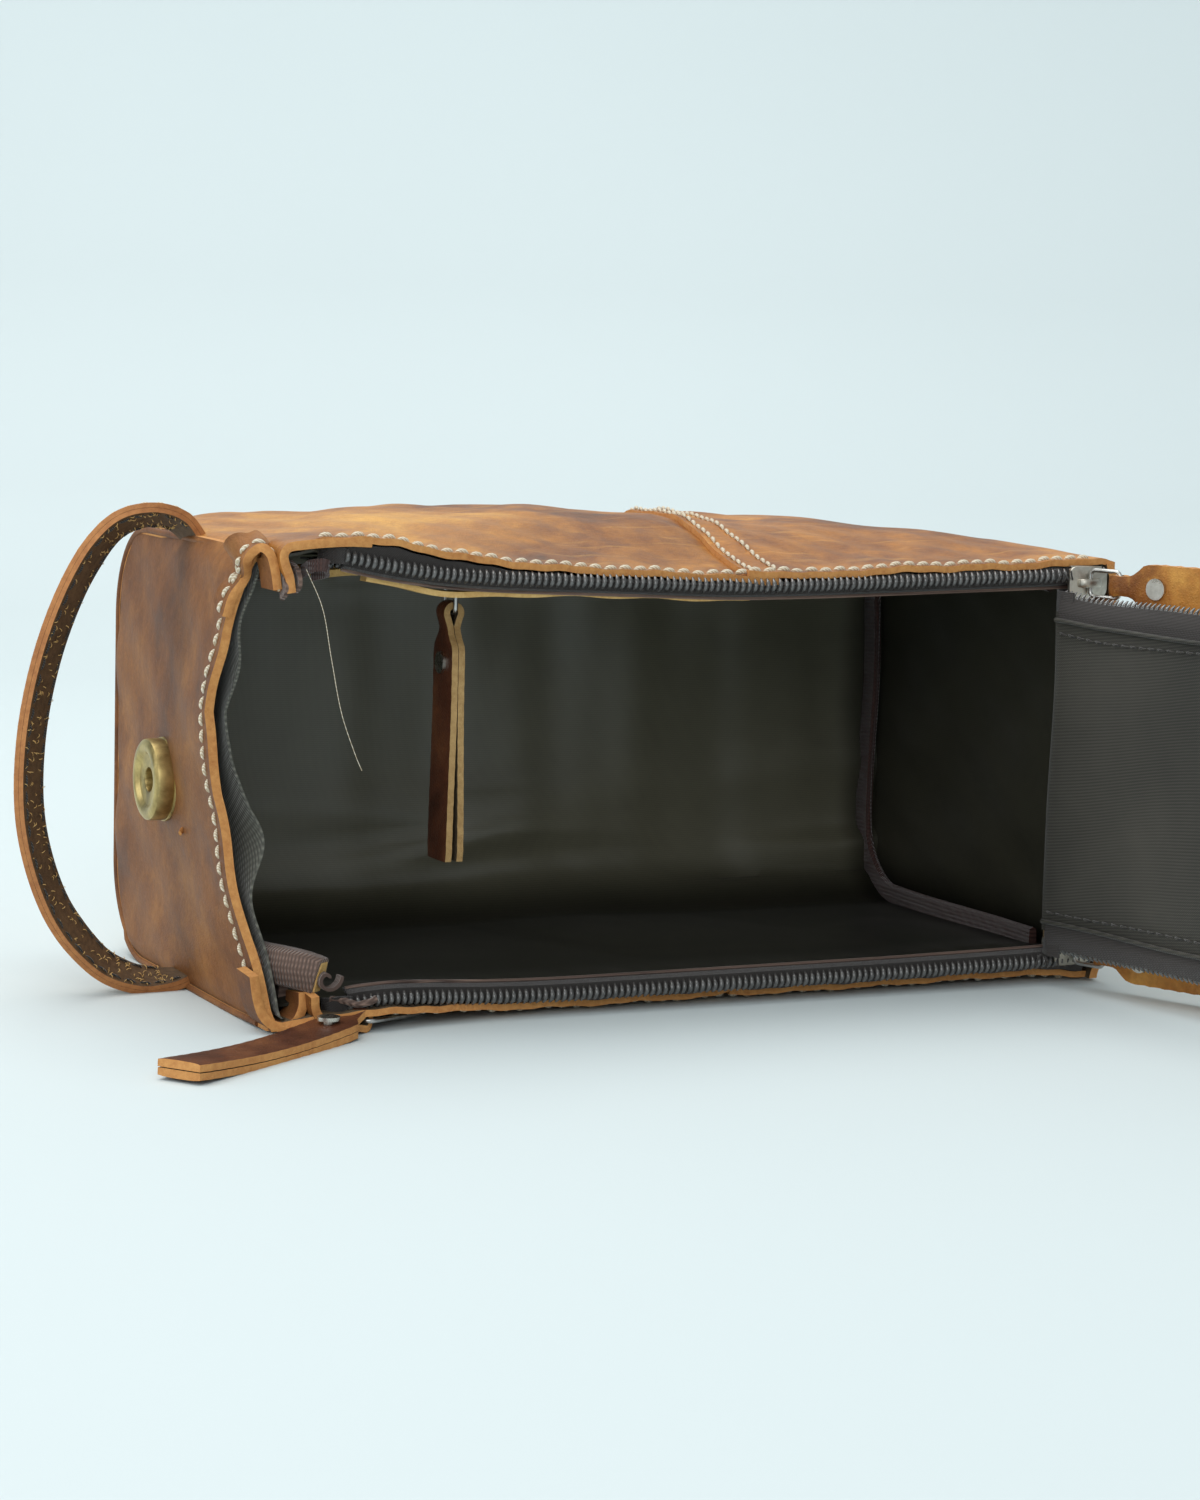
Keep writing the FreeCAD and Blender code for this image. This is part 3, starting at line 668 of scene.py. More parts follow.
wrap_panel("left", lambda along: -101.0, lambda along: seam_x(along) + 3.5, lift_left, TAN)
wrap_panel("right", lambda along: seam_x(along) - 4.0, lambda along: 101.0, lift_right,
           TAN_RIGHT)

# two rows of stitching on the lap
for k, shift in enumerate((-2.4, 3.6)):
    row = np.array([wrap_point(seam_x(along) + shift, along, -0.75)
                    for along in np.linspace(0.335, 0.985, 150)])
    stitch_row("lap_stitch_%d" % k, row, outward(row), pitch=3.6)

# topstitch along the mouth edges, stepping over the lap on the upper one
for (level, up), along in zip(LEVELS, (0.9925, 0.0125)):
    row = []
    for x in np.linspace(-92, 97, 260):
        over_lap = up > 0 and abs(x - seam_x(along) - 2) < 6
        row.append(wrap_point(x, along, -0.60 if over_lap else -0.05))
    stitch_row("mouth_stitch_" + level, row, [0, -0.3, up], radius=0.6)


# ------------------------------------------------------------------ gussets
GUSSET_LOW = 0.6
GUSSET_SPAN = {-1: 98.8, 1: 95.2}


def gusset_point(deep, high, side):
    """deep runs 0..1 from mouth edge to base, high 0..1 from low to high."""
    z = GUSSET_LOW + high * GUSSET_SPAN[side]
    if side < 0:
        back = np.interp(z, EDGE_Z, EDGE_BACK) - 1.5 * (1 - high) ** 4
        bulge, belly = np.interp(z, EDGE_Z, EDGE_BULGE), 0.9
        edge = 1.0
    else:
        back = 0.6 * sin(pi * high)
        bulge, belly = 0.5 * sin(pi * high), 2.2
        edge = smoothstep(0, 0.06, deep)
    # the base end follows the rounded corners
    past = max(CORNER_R - z, z - HEIGHT + CORNER_R, 0.0)
    base = BASE_Y - CORNER_R + sqrt(max(0.0, CORNER_R ** 2 - past ** 2)) - 0.3
    start = MOUTH_Y + back
    y = start + (base - start) * deep
    belly *= sin(pi * high) ** 0.8 * sin(pi * deep * 0.98) ** 0.9
    wobble = 0.35 * sin(z * 0.16 + y * 0.07) + 0.22 * sin(z * 0.33 - y * 0.21 + 2)
    for margin in (1 - deep, high, 1 - high):
        edge *= smoothstep(0, 0.05, margin)
    tuck = (1.2 * (1 - smoothstep(0, 0.05, 1 - deep)) + 1.0 * (1 - smoothstep(0, 0.04, high))
            + 1.0 * (1 - smoothstep(0, 0.04, 1 - high)))
    x = side * (HALF_X + bulge * (1 - deep) ** 2.0 + (belly + wobble) * edge - tuck)
    return np.array([x, y, z])


def gusset_grids(side):
    """Outer and inner faces."""
    steps = np.linspace(0, 1, 70)
    outer = np.array([[gusset_point(deep, high, side) for high in steps] for deep in steps])
    return outer, outer - (side * LEATHER_T, 0, 0)


for side, label in SIDES:
    grid_solid("gusset_%s_leather" % label, *gusset_grids(side), [BROWN, FLESH, EDGE],
               cad="gusset_" + label)

# topstitch just in from the left gusset's mouth edge
row = [gusset_point(0.042, high, -1) + (-0.1, 0, 0) for high in np.linspace(0.015, 0.985, 200)]
stitch_row("gusset_left_stitch", row, [-1, -0.1, 0], radius=0.48, fill=0.82)


# ------------------------------------------------------------------ turned edges, left corners
def edge_ribbon(name, knots, depth, face, thick=1.0, stitched=False):
    """Leather strip on edge, its rounded cut edge towards the mouth."""
    path = smooth_path(knots, 70)
    profile = [(-thick, -0.8), (-thick * 0.5, -1.0), (thick * 0.5, -1.0), (thick, -0.8),
               (thick, depth), (-thick, depth)]
    sweep(name, path, [0, 1, 0], profile, [face, EDGE], [1, 1, 1, 0, 0, 0], angle=60)
    if stitched:
        side = frames_of(path, [0, 1, 0])[1]
        stitch_row(name + "_stitch", path + side * (thick + 0.05) + (0, 1.6, 0), side,
                   pitch=3.4, radius=0.5)


def waved(outline, y):
    """(x, z) knots set at y with a slight wave."""
    return [(x, y + 0.4 * sin(k * 0.9), z) for k, (x, z) in enumerate(outline)]


gusset_rim = [gusset_point(0.0, high, -1) + (-0.1 + 1.1 * (high > 0.9), 0.2, 0)
              for high in (0.86, 0.90, 0.93, 0.95)]
edge_ribbon("gusset_roll_upper", gusset_rim + [
    (-105.6, -48.6, 97.6), (-104.8, -50.6, 99.6), (-103.4, -51.8, 100.2),
    (-102.0, -52.5, 98.9), (-101.1, -52.6, 96.0), (-100.4, -52.6, 91.8)],
    depth=6.5, face=BROWN, thick=0.95, stitched=True)
edge_ribbon("wrap_roll_upper", [
    (-97.9, -54.0, 91.2), (-98.4, -54.0, 94.4), (-99.4, -54.2, 97.0), (-99.7, -54.2, 99.0),
    (-98.6, -54.4, 100.5), (-95.6, -54.7, 101.0), (-91.0, -54.9, 101.4),
    (-86.0, -55.1, 101.6), (-81.0, -54.8, 101.4)], depth=8.0, face=TAN, thick=0.95)
edge_ribbon("gusset_roll_lower", waved([
    (-104.6, 12.5), (-103.8, 8.0), (-102.6, 4.4), (-100.6, 2.2), (-98.0, 1.5), (-95.4, 2.6),
    (-94.0, 5.4), (-93.8, 8.4)], y=-53.4), depth=7.0, face=BROWN)
edge_ribbon("wrap_roll_lower", waved([
    (-92.6, 8.2), (-92.2, 5.2), (-90.6, 3.2), (-87.6, 2.9), (-84.0, 3.6)], y=-57.2),
    depth=5.0, face=TAN, thick=0.9)

# ribbed bindings caught inside the upper pinch
for k, (x, z) in enumerate(((-99.4, 93.5), (-98.9, 95.4), (-96.6, 94.8))):
    path = smooth_path([(x, -50.0, z + 2.0), (x + 0.3, -53.4, z + 0.6),
                        (x + 0.5, -54.0, z - 1.8), (x + 0.2, -52.5, z - 3.2)], 16)
    sweep("pinch_binding_%d" % k, path, [0, 1, 0], flat_bar(0.45, 0.9), [RIBBED])

# ridge where each gusset meets the wrap
for side, label in SIDES:
    path = wrap_line(side * 100.2, np.linspace(0.02, 0.98, 160), 0.55)
    path[:, 0] = side * 100.9
    sweep("end_seam_" + label, path, [side, 0, 0], circle(0.75, 8), [BROWN])


# ------------------------------------------------------------------ linings
def lining_point(x, along, depth):
    """The wrap's inside, pushed inwards in soft folds away from the mouth."""
    point = wrap_point(x, along, depth)
    _, y, z = point
    inward = unit(np.array([0.0, -y, 50.0 - z]))
    base = smoothstep(BASE_Y - 26, BASE_Y - 4, y)
    fold = (1.6 + 1.0 * sin(x * 0.032 + y * 0.03 + 0.4)
            + 0.5 * sin(x * 0.07 - z * 0.045 + 1.7)
            + 0.28 * sin(x * 0.16 + z * 0.05 + 0.9 * sin(z * 0.06 + 1) + 1.0) * (0.3 + base))
    ridge = (dip(z, 19 + 3 * sin(x * 0.045 + 1), 4.0)
             + 0.6 * dip(z, 33 + 5 * sin(x * 0.03 - 1), 6.0))
    fold += ridge * base * 3.6 * (0.6 + 0.4 * sin(x * 0.06 + 2.2))
    if z > 88:
        fold *= 0.25
    if z < 9:
        fold = max(fold, 1.9)
    return point + inward * max(0.0, fold) * smoothstep(MOUTH_Y, MOUTH_Y + 16, y)


def wrap_lining():
    faces = [np.array([[lining_point(x, along, depth) for x in np.linspace(-97.5, 97.5, 120)]
                       for along in np.linspace(0.02, 0.98, 110)]) for depth in (3.4, 2.8)]
    grid_solid("lining_satin_wrap", *faces, [SATIN] * 3, cad="lining_wrap")


def gusset_lining(side, label, mat):
    leather_face = gusset_grids(side)[1]
    deep = np.linspace(0, 1, 70)[:, None]
    high = np.linspace(0, 1, 70)[None, :]
    ripple = (0.9 * np.sin(high * 21 + deep * 5) * np.exp(-deep * 5)
              + 0.5 * np.sin(high * 34 + 1.5) * np.exp(-deep * 9)
              + 0.5 * np.sin(high * 9 + deep * 12))
    inset = 1.15 + np.maximum(0, 0.8 + ripple) * np.sin(pi * high) ** 0.5
    if side < 0:
        inset = inset + (4.6 * dip(high, 0.42, 0.15) + 1.6 * dip(high, 0.75, 0.1)) \
            * np.exp(-deep * 9)
    faces = []
    for gap in (inset, inset - 0.5):
        face = leather_face.copy()
        face[..., 0] -= side * gap
        # keep the sheet inside the corners
        face[..., 1] = np.clip(face[..., 1] + (0.6 if side > 0 else 0.5), None, BASE_Y - 3.2)
        face[..., 2] = np.clip(face[..., 2], 3.0, 96.6)
        faces.append(face)
    grid_solid("lining_end_" + label, *faces, [mat] * 3, cad="lining_gusset_" + label)


wrap_lining()
gusset_lining(-1, "left", TWILL_LEFT)
gusset_lining(1, "right", SATIN)

# bound seam ridges running round inside both ends
for (side, label), start, mat in zip(SIDES, (0.035, 0.055), (RIBBED, RIBBED_RED)):
    path = wrap_line(side * 95.6, np.linspace(start, 0.94, 200), 6.6)
    path[:, 0] = side * (94.6 + 0.5 * np.sin(np.linspace(0, 26, 200)))
    profile = [(-1.1, -2.4), (-0.7, -2.9), (0.7, -2.9), (1.1, -2.4), (0.9, 2.4), (0, 2.9),
               (-0.9, 2.4)]
    sweep("seam_binding_%s_ribbed" % label, path, -outward(path), profile, [mat],
          cad="seam_binding_" + label)

# rolled end of the left binding at the lower corner, standing free of the mouth, with a tail
roll = smooth_path([(-99.0, -40.0, 13.2), (-96.8, -46.0, 13.3), (-94.0, -50.5, 13.0),
                    (-91.6, -53.4, 12.4), (-90.2, -55.0, 11.8)], 50)
core = [(-1.2, -3.4), (1.2, -3.4), (1.6, 0), (1.2, 3.0), (-1.2, 3.0), (-1.6, 0)]
sweep("binding_roll_core", roll, [0, 0, 1], core, [EDGE_YELLOW])
cover = [(-2.0, -3.6), (-1.2, -4.2), (1.2, -4.2), (2.0, -3.6), (2.5, 0), (2.0, 3.2),
         (1.1, 3.9), (-1.1, 3.9), (-2.0, 3.2), (-2.5, 0)]
sweep("binding_roll_cover", roll[:-2], [0, 0, 1], cover, [RIBBED])
turn = np.linspace(0.6, 6.4, 40)
curl = points(-89.4 + 0.48 * turn * np.cos(turn), -55.8, 11.6 + 0.48 * turn * np.sin(turn))
sweep("binding_roll_end", curl, [0, 1, 0], flat_bar(0.35, 1.4), [RIBBED])
tail = smooth_path([(-88.0, -54.5, 6.8), (-85.5, -56.0, 6.6), (-83.0, -57.2, 5.9),
                    (-80.5, -57.8, 6.4), (-79.0, -58.2, 7.2)], 24)
sweep("binding_tail", tail, [0, 0, 1], circle(0.75, 8), [RIBBED])

# upper left corner: a bound loop and a long loose thread
loop = smooth_path([(-94.0, -50.5, 95.2), (-93.4, -54.0, 96.6), (-91.2, -56.0, 96.9),
                    (-90.2, -54.0, 95.6), (-92.0, -50.5, 94.6)], 30)
sweep("corner_tape_loop", loop, [0, 0, 1], flat_bar(0.4, 1.3), [RIBBED_RED])
strand = smooth_path([(-94.5, -53.8, 96.0), (-91.6, -56.0, 88.0), (-90.0, -57.2, 78.0),
                      (-87.8, -57.6, 67.0), (-84.6, -57.2, 58.5), (-82.6, -56.4, 54.6)], 90)
sweep("loose_thread", strand, [0, 1, 0], circle(0.075, 5), [THREAD])

# ------------------------------------------------------------------ mouth zips on the shell
xs = np.linspace(-86, 97, 240)
zip_upper = ease(points(xs, -54.0 - 0.8 * dip(xs, -78, 14.0),
                        np.interp(xs, ZIP_UP_X, ZIP_UP_Z)))
xs = np.linspace(-84, 97, 240)
zip_lower = ease(points(xs, -54.3 - 1.6 * dip(xs, -78, 16.0),
                        np.interp(xs, ZIP_LOW_X, ZIP_LOW_Z)))
# level, direction of its lip, zip line, lip heights
SHELL_ZIPS = (("upper", 1, zip_upper, LIP_UP), ("lower", -1, zip_lower, LIP_LOW))

for level, up, path, lips in SHELL_ZIPS:
    coil_row("zip_teeth_shell_" + level, path, [0, 0, 1], [0, -1, 0],
             cad="zip_coil_shell_" + level)

# each tape runs from under the lip, round the coil and back inside
for level, up, path, lips in SHELL_ZIPS:
    x = path[:, 0]
    edge = points(x, np.interp(x, LIP_X, FRONT_UP) + 1.0, lip(x, lips) - up * 1.9)
    deep = edge + (0, 6.0, 0)
    coil = path + (0, 1.2, 0)
    over = path + (0, 1.4, -up * 1.9)
    back = path + (0, 4.5, -up * 2.6)
    rows = [deep, edge * 0.75 + deep * 0.25, edge, (edge + coil) / 2 + (0, -0.2, 0), coil,
            over, (over + back) / 2 + (0, -0.4, 0), back]
    tape_sheet("zip_tape_shell_%s_woven" % level, rows, cad="zip_tape_shell_" + level)

# the fine welt behind each coil
for level, up, path, lips in SHELL_ZIPS:
    sweep("zip_welt_" + level, path + (0, 3.2, -up * 2.9), [0, 0, 1], circle(0.42, 6),
          [RIBBED])

# left ends of the tapes, folded back
for level, up, path, lips in SHELL_ZIPS:
    fold = smooth_path(path[0] + [(0.5, 0.6, 0), (-2.0, 0.0, 0.2), (-4.0, 1.2, 0.3 * up),
                                  (-4.6, 3.6, 0.6 * up)], 16)
    sweep("zip_end_fold_" + level, fold, [0, 0, 1], flat_bar(0.5, 1.7), [TAPE])


# ------------------------------------------------------------------ pocket in the upper wall
def welt(label, x0, x1, y0, y1, z, thick, wave, cad=None):
    """A raw-edged leather strip lying flat, slightly waved."""
    x = np.linspace(x0, x1, 90)[:, None]
    y = np.linspace(y0, y1, 6)[None, :]
    low = points(x, y + wave * np.sin(x * 0.12 + y),
                 z + wave * 0.8 * np.sin(x * 0.08 + 1) + wave * 0.4 * np.sin(x * 0.31))
    grid_solid("inner_pocket_welt_" + label, low, low + (0, 0, thick),
               [RAW_WELT, RAW_WELT, EDGE_YELLOW], cad=cad)


low, high = cad_corners("inner_pocket_facing")
welt("front", low[0], high[0], -33.5, -29.2, z=92.4, thick=1.5, wave=0.5,
     cad="inner_pocket_facing")
welt("back", low[0], high[0], -20.8, -16.5, z=92.6, thick=1.5, wave=0.5)
welt("left", low[0], low[0] + 4, -29.2, -20.8, z=92.6, thick=1.4, wave=0.2)
welt("right", high[0] - 4, high[0], -29.2, -20.8, z=92.6, thick=1.4, wave=0.2)

# yellow raw lip of the facing, under the upper zip
xs = np.linspace(-80, 9, 90)
height = (np.interp(xs, ZIP_UP_X, ZIP_UP_Z) - 2.9 - 1.2 * dip(xs, -62, 16)
          + 0.25 * np.sin(xs * 0.33) + 0.15 * np.sin(xs * 0.9))
sweep("inner_facing_lip", ease(points(xs, -49.2, height), 3), [0, 0, 1],
      [(-2.2, -0.75), (1.4, -0.65), (1.4, 0.55), (-2.2, 0.65)], [EDGE_YELLOW, RAW_WELT],
      [1, 0, 1, 0])
for label, y in (("front", -26.5), ("back", -23.5)):
    coil_row("inner_zip_teeth_" + label, points(np.linspace(-79, 43, 120), y, 94.9),
             [0, 1, 0], [0, 0, -1], width=2.0, cad="inner_pocket_coil_" + label)

# ------------------------------------------------------------------ zip under the lower panel
for label, y in (("front", -1.5), ("back", 1.5)):
    path = turn_about_x(points(np.linspace(-79, 59, 130), y, 1.5), -OUTER_TILT)
    coil_row("outer_zip_teeth_" + label, path + (0, POCKET_Y, POCKET_Z), [0, 1, -0.15],
             [0, -0.15, -1], width=2.0, cad="outer_pocket_coil_" + label)


# ------------------------------------------------------------------ wire links, leather pulls
def axes_of(origin, x_way, z_way):
    x_axis, z_axis = unit(np.array(x_way, float)), unit(np.array(z_way, float))
    return np.array(origin, float), np.array([x_axis, np.cross(z_axis, x_axis), z_axis])


def wire_link(name, axes, length, body, cad):
    """A rounded rectangle of wire, lying in the XZ plane of its axes."""
    half, corner = 3.0, 1.3
    loop = []
    for x, z, start in ((length - corner, half - corner, 0), (corner, half - corner, 90),
                        (corner, -half + corner, 180), (length - corner, -half + corner, 270)):
        angle = np.radians(np.linspace(start, start + 90, 7))
        loop.append(points(x + corner * np.cos(angle), 0.0, z + corner * np.sin(angle)))
    origin, basis = axes
    sweep(name, origin + np.concatenate(loop) @ basis, basis[1], circle(0.5, 10), [WIRE],
          closed=True, angle=80, body=body, cad=cad)


def leather_pull(name, axes, body, cad, splay, length=54.0, arch=0.0, face=PULL_FACE,
                 rim=EDGE):
    """One strip folded round the link: two legs lie together and splay apart at the end."""
    half, thick = 5.25, 1.55
    legs = np.linspace(length, 3.2, 40)
    leg_y = 0.06 + splay * smoothstep(16, length, legs) + thick / 2
    bend = np.radians(np.linspace(60, 300, 22))
    bend_r = 0.95 + thick / 2
    path = np.concatenate([
        np.column_stack([legs, leg_y]),
        np.column_stack([bend_r * np.cos(bend) + 0.15, bend_r * np.sin(bend)]),
        np.column_stack([legs, -leg_y])[::-1]])
    x = path[:, 0]
    path[:, 1] += arch * np.sin(pi * np.clip(x, 0, length) / length)
    tangent = unit(np.gradient(path, axis=0))
    normal = np.stack([-tangent[:, 1], tangent[:, 0]], 1)
    width = half * (0.42 + 0.58 * smoothstep(3.0, 8.5, x))
    width *= 1 - 0.05 * smoothstep(length - 2.5, length, x)
    across = np.linspace(-1, 1, 9)
    at_edge = abs(across) > 0.9
    ragged = 0.10 * np.sin(x[:, None] * 1.7 + np.arange(9)) * at_edge
    z = across * width[:, None] + ragged
    crowned = thick / 2 - 0.12 * at_edge + 0.16 * (1 - across ** 2)
    origin, basis = axes
    faces = []
    for offset in (crowned, np.full(9, -thick / 2)):
        flat = path[:, None] - normal[:, None] * offset[None, :, None]
        faces.append(origin + np.dstack([flat, z]) @ basis)
    grid_solid(name, *faces, [face, FLESH, rim], angle=55, body=body, cad=cad)


def hang_pull(place, start, way, bar, body, cad, link=8.0, pull_way=None, **look):
    """A wire link from start along way, and a pull on its far end; bar is the hinge line."""
    far = np.array(start) + link * unit(np.array(way, float))
    wire_link("link_wire_" + place, axes_of(start, way, bar), link, body.format("link"),
              cad.format("link"))
    leather_pull("pull_strip_" + place, axes_of(far, pull_way or way, bar),
                 body.format("pull"), cad.format("pull"), **look)


swing = radians(22)
for level, up in LEVELS:
    piece = "zip_{}_" + level
    hang_pull(level, (SLIDER_X, -56.2, SLIDER_Z[level]), (sin(swing), -cos(swing), 0),
              (0, 0, 1), piece, piece, face=TAN, splay=0.15)
hang_pull("inner", (-50.5, -25, 92.35), (0, 0, -1), (0, -1, 0), "inner_{}",
          "inner_pocket_{}", splay=0.55, rim=EDGE_PALE)
swing = radians(35)
hang_pull("outer", (-66.0, -44.93, 1.2), (-16.347, -11.446, 1.32),
          (sin(swing), -cos(swing), 0), "outer_{}", "outer_pocket_{}", link=20.0,
          pull_way=(-cos(swing), -sin(swing), 0), splay=0.05, length=62.0, arch=1.5)

# ------------------------------------------------------------------ hand strap
STRAP_KNOTS = [
    (-98.8, 2.0, 97.8), (-104.2, 1.0, 102.6), (-112.0, 0.0, 103.4), (-119.5, -0.3, 99.8),
    (-127.0, -0.5, 89.0), (-133.2, -0.5, 73.0), (-136.6, -0.5, 55.0), (-136.3, -0.5, 37.0),
    (-131.0, -0.5, 20.0), (-122.0, -0.3, 8.0), (-113.5, 0.2, 3.0), (-106.0, 1.0, 1.9),
    (-100.2, 2.0, 2.4)]
STRAP_HALF = 4.3
STRAP_INNER = raw_edge("strap_inner_fuzzy", dark=(0.045, 0.024, 0.010),
                       light=(0.17, 0.095, 0.042))
STRAP_EDGE = raw_edge("strap_cut_edge", dark=(0.28, 0.095, 0.026), light=(0.52, 0.225, 0.07))

strap = smooth_path(STRAP_KNOTS, 170)
strap[:, 1] += 0.5 * np.sin(np.linspace(0, 9, len(strap)))


def strap_normals():
    """Outward normals, canted so that the inner face turns towards the mouth."""
    out = strap - (-103.0, 0, 51.0)
    out[:, 1] = 0
    tangent = unit(np.gradient(strap, axis=0))
    normal = unit(out - tangent * (out * tangent).sum(1, keepdims=True))
    share = np.clip(np.sin(np.linspace(0, pi, len(strap))) * 1.25, 0, 1)
    cant = (radians(46) * share)[:, None]
    return normal * np.cos(cant) + np.cross(tangent, normal) * np.sin(cant)


def strap_skin(label, low, high):
    """One skin between two heights on the strap line."""
    corners = [(-STRAP_HALF, low), (STRAP_HALF, low), (STRAP_HALF, high), (-STRAP_HALF, high)]
    profile, ids = [], []
    # steps and material of each side of the section: inner face, edge, outer face, edge
    for i, (steps, mat_id) in enumerate(((6, 1), (2, 2), (6, 0), (2, 2))):
        (x0, y0), (x1, y1) = corners[i], corners[(i + 1) % 4]
        for k in range(steps):
            profile.append((x0 + (x1 - x0) * k / steps, y0 + (y1 - y0) * k / steps))
            ids.append(mat_id)
    skin = sweep("strap_skin_" + label, strap, strap_up, profile,
                 [TAN, STRAP_INNER, STRAP_EDGE], ids, angle=45, body=None,
                 cad="strap_" + label)
    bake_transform(skin)


strap_up = strap_normals()
strap_skin("outer", 0.0, 1.15)
strap_skin("inner", -1.15, -0.06)
_, side_way, up_way = frames_of(strap, strap_up)
FREE = slice(9, -9)                       # the strap clear of its roots
for face, sign, mat, radius in (("out", 1, THREAD, 0.36), ("in", -1, THREAD_DARK, 0.22)):
    for row, side in (("a", 3.2), ("b", -3.2)):
        path = strap + side_way * side + up_way * 1.2 * sign
        stitch_row("strap_stitch_%s_%s" % (face, row), path[FREE], sign * up_way[FREE],
                   pitch=3.6, mat=mat, radius=radius, body="strap")

# loose fibres on the inner face
FIBRES = 260
spot = rng.integers(12, len(strap) - 12, FIBRES)
shift = rng.uniform(-4.1, 4.1, FIBRES)
root = strap[spot] + side_way[spot] * shift[:, None] - up_way[spot] * 1.2
beads("strap_fuzz", root, rng.normal(0, 1, (FIBRES, 3)), -up_way[spot], length=1.3,
      radius=0.09, rise=0.35, mat=EDGE_YELLOW, seg=3, ring=4, body="strap")


# ------------------------------------------------------------------ lid
# Drawn closed, running from the hinge towards -X with +Y inside, then swung open.
LID_IN = np.array([-sin(LID_OPEN), cos(LID_OPEN), 0.0])
LID_OUT = -LID_IN
LID_WAY = np.array([-cos(LID_OPEN), -sin(LID_OPEN), 0.0])


def swung(pts):
    """Closed-lid points taken to the open lid, which sags slightly away from the hinge."""
    x, y, z = np.moveaxis(np.asarray(pts, float), -1, 0)
    z = z - (1.2 + smoothstep(0, 20, -x)) * np.clip((z - 11.0) / 78.0, 0, 1)
    c, s = cos(LID_OPEN), sin(LID_OPEN)
    return np.stack([HINGE[0] + c * x - s * y, HINGE[1] + s * x + c * y, z], -1)


def lid_bow(x, z):
    """Gentle belly and waves of the lid panel, out of its plane."""
    belly = np.sin(pi * np.clip((z - 11) / 78.0, 0, 1))
    belly = belly * np.sin(pi * np.minimum(1, -x / LID_LENGTH))
    return (-0.9 * belly + 0.35 * np.sin(x * 0.07 + 1) * np.sin(z * 0.06)
            + 0.2 * np.sin(x * 0.15 + z * 0.09))


def lid_sheet(name, x0, x1, inset, y_out, y_in, mats, cad, puff=0.0):
    """Lid panel that narrows past the lid's length; puff swells its inner face."""
    x = np.linspace(x0, x1, 130)[:, None]
    share = np.linspace(-1, 1, 40)[None, :]
    narrow = smoothstep(0, 14, -LID_LENGTH - x)
    half = LID_HALF + (17.0 - LID_HALF) * narrow - inset
    z = LID_MID_Z - (LID_MID_Z - TONGUE_Z) * narrow + half * share
    bow = lid_bow(x, z)
    swell = 0.0
    if puff:
        fold = 0.22 * np.sin(x * 0.11 + z * 0.05) + 0.16 * np.sin(z * 0.14 - x * 0.05 + 1)
        inside = (x < x0) & (x > x1)
        swell = puff * (1 - abs(share) ** 6) * inside + fold * (1 - abs(share) ** 4)
    grid_solid(name, swung(points(x, y_out + bow, z)), swung(points(x, y_in + bow + swell, z)),
               mats, body="lid", cad=cad)


lid_sheet("lid_leather_panel", -1.6, -193.0, 0.0, -1.0, 0.9, TAN_SHEET, cad="lid_leather")
lid_sheet("lid_lining_panel", -2.0, -164.0, 2.0, 1.1, 1.7, [TWILL] * 3, cad="lid_lining",
          puff=0.75)


def lid_line(x0, x1, z, y):
    x = np.linspace(x0, x1, 200)
    return swung(points(x, y + lid_bow(x, z), z + 0.25 * np.sin(x * 0.09 + z)))


def lid_zip_row(z, y):
    x = np.linspace(-4, -165, 180)
    return swung(points(x, y + lid_bow(x, z) * 0.8, z + 0.18 * np.sin(x * 0.12)))


for level, up in LEVELS:
    coil_z = LID_MID_Z + up * 40.1
    tape_z = LID_MID_Z + up * LID_EDGE_Z
    rows = [lid_zip_row(z, y) for z, y in (
        (tape_z - up * 1.2, 2.25), (tape_z, 2.35), (tape_z + up * 0.8, 2.55),
        (coil_z - up * 1.5, 2.2), (coil_z - up * 0.6, 1.9), (coil_z + up * 0.3, 1.6))]
    tape_sheet("lid_zip_tape_%s_woven" % level, rows, body="lid", cad="lid_zip_tape_" + level)
    coil_row("lid_zip_teeth_" + level, lid_zip_row(coil_z, 0.7), [0, 0, 1], LID_IN,
             body="lid", cad="lid_zip_coil_" + level)
    # raised cord and dark stitching just inside the tape, then the outer topstitch
    sweep("lid_cord_" + level, lid_line(-3, -164, tape_z - up * 1.4, 2.75), [0, 0, 1],
          circle(0.5, 8), [TWILL], body="lid")
    stitch_row("lid_lining_stitch_" + level, lid_line(-4, -163, tape_z - up * 4.2, 2.62),
               LID_IN, pitch=2.9, mat=THREAD_DARK, radius=0.26, body="lid")
    stitch_row("lid_outer_stitch_" + level, lid_line(-4, -166, tape_z, -1.02), LID_OUT,
               radius=0.4, body="lid")


# ------------------------------------------------------------------ hinge
def hinge_curve(x_start, offset):
    """(x, y) line: flat along the mouth, a Hermite bend at the hinge, then on to the lid."""
    flat = points(np.linspace(x_start, HINGE[0] + 3.0, 14), HINGE[1] + offset, 0)
    on_lid, end = swung([(-5.0, offset, 0.0), (-8.0, offset, 0.0)])
    t = (np.arange(1, 16) / 15)[:, None]
    bend = ((2 * t**3 - 3 * t**2 + 1) * flat[-1]
            + (t**3 - 2 * t**2 + t) * 7 * np.array([-1.0, 0, 0])
            + (3 * t**2 - 2 * t**3) * on_lid + (t**3 - t**2) * 7 * LID_WAY)
    return np.vstack([flat, bend, end])[:, :2]


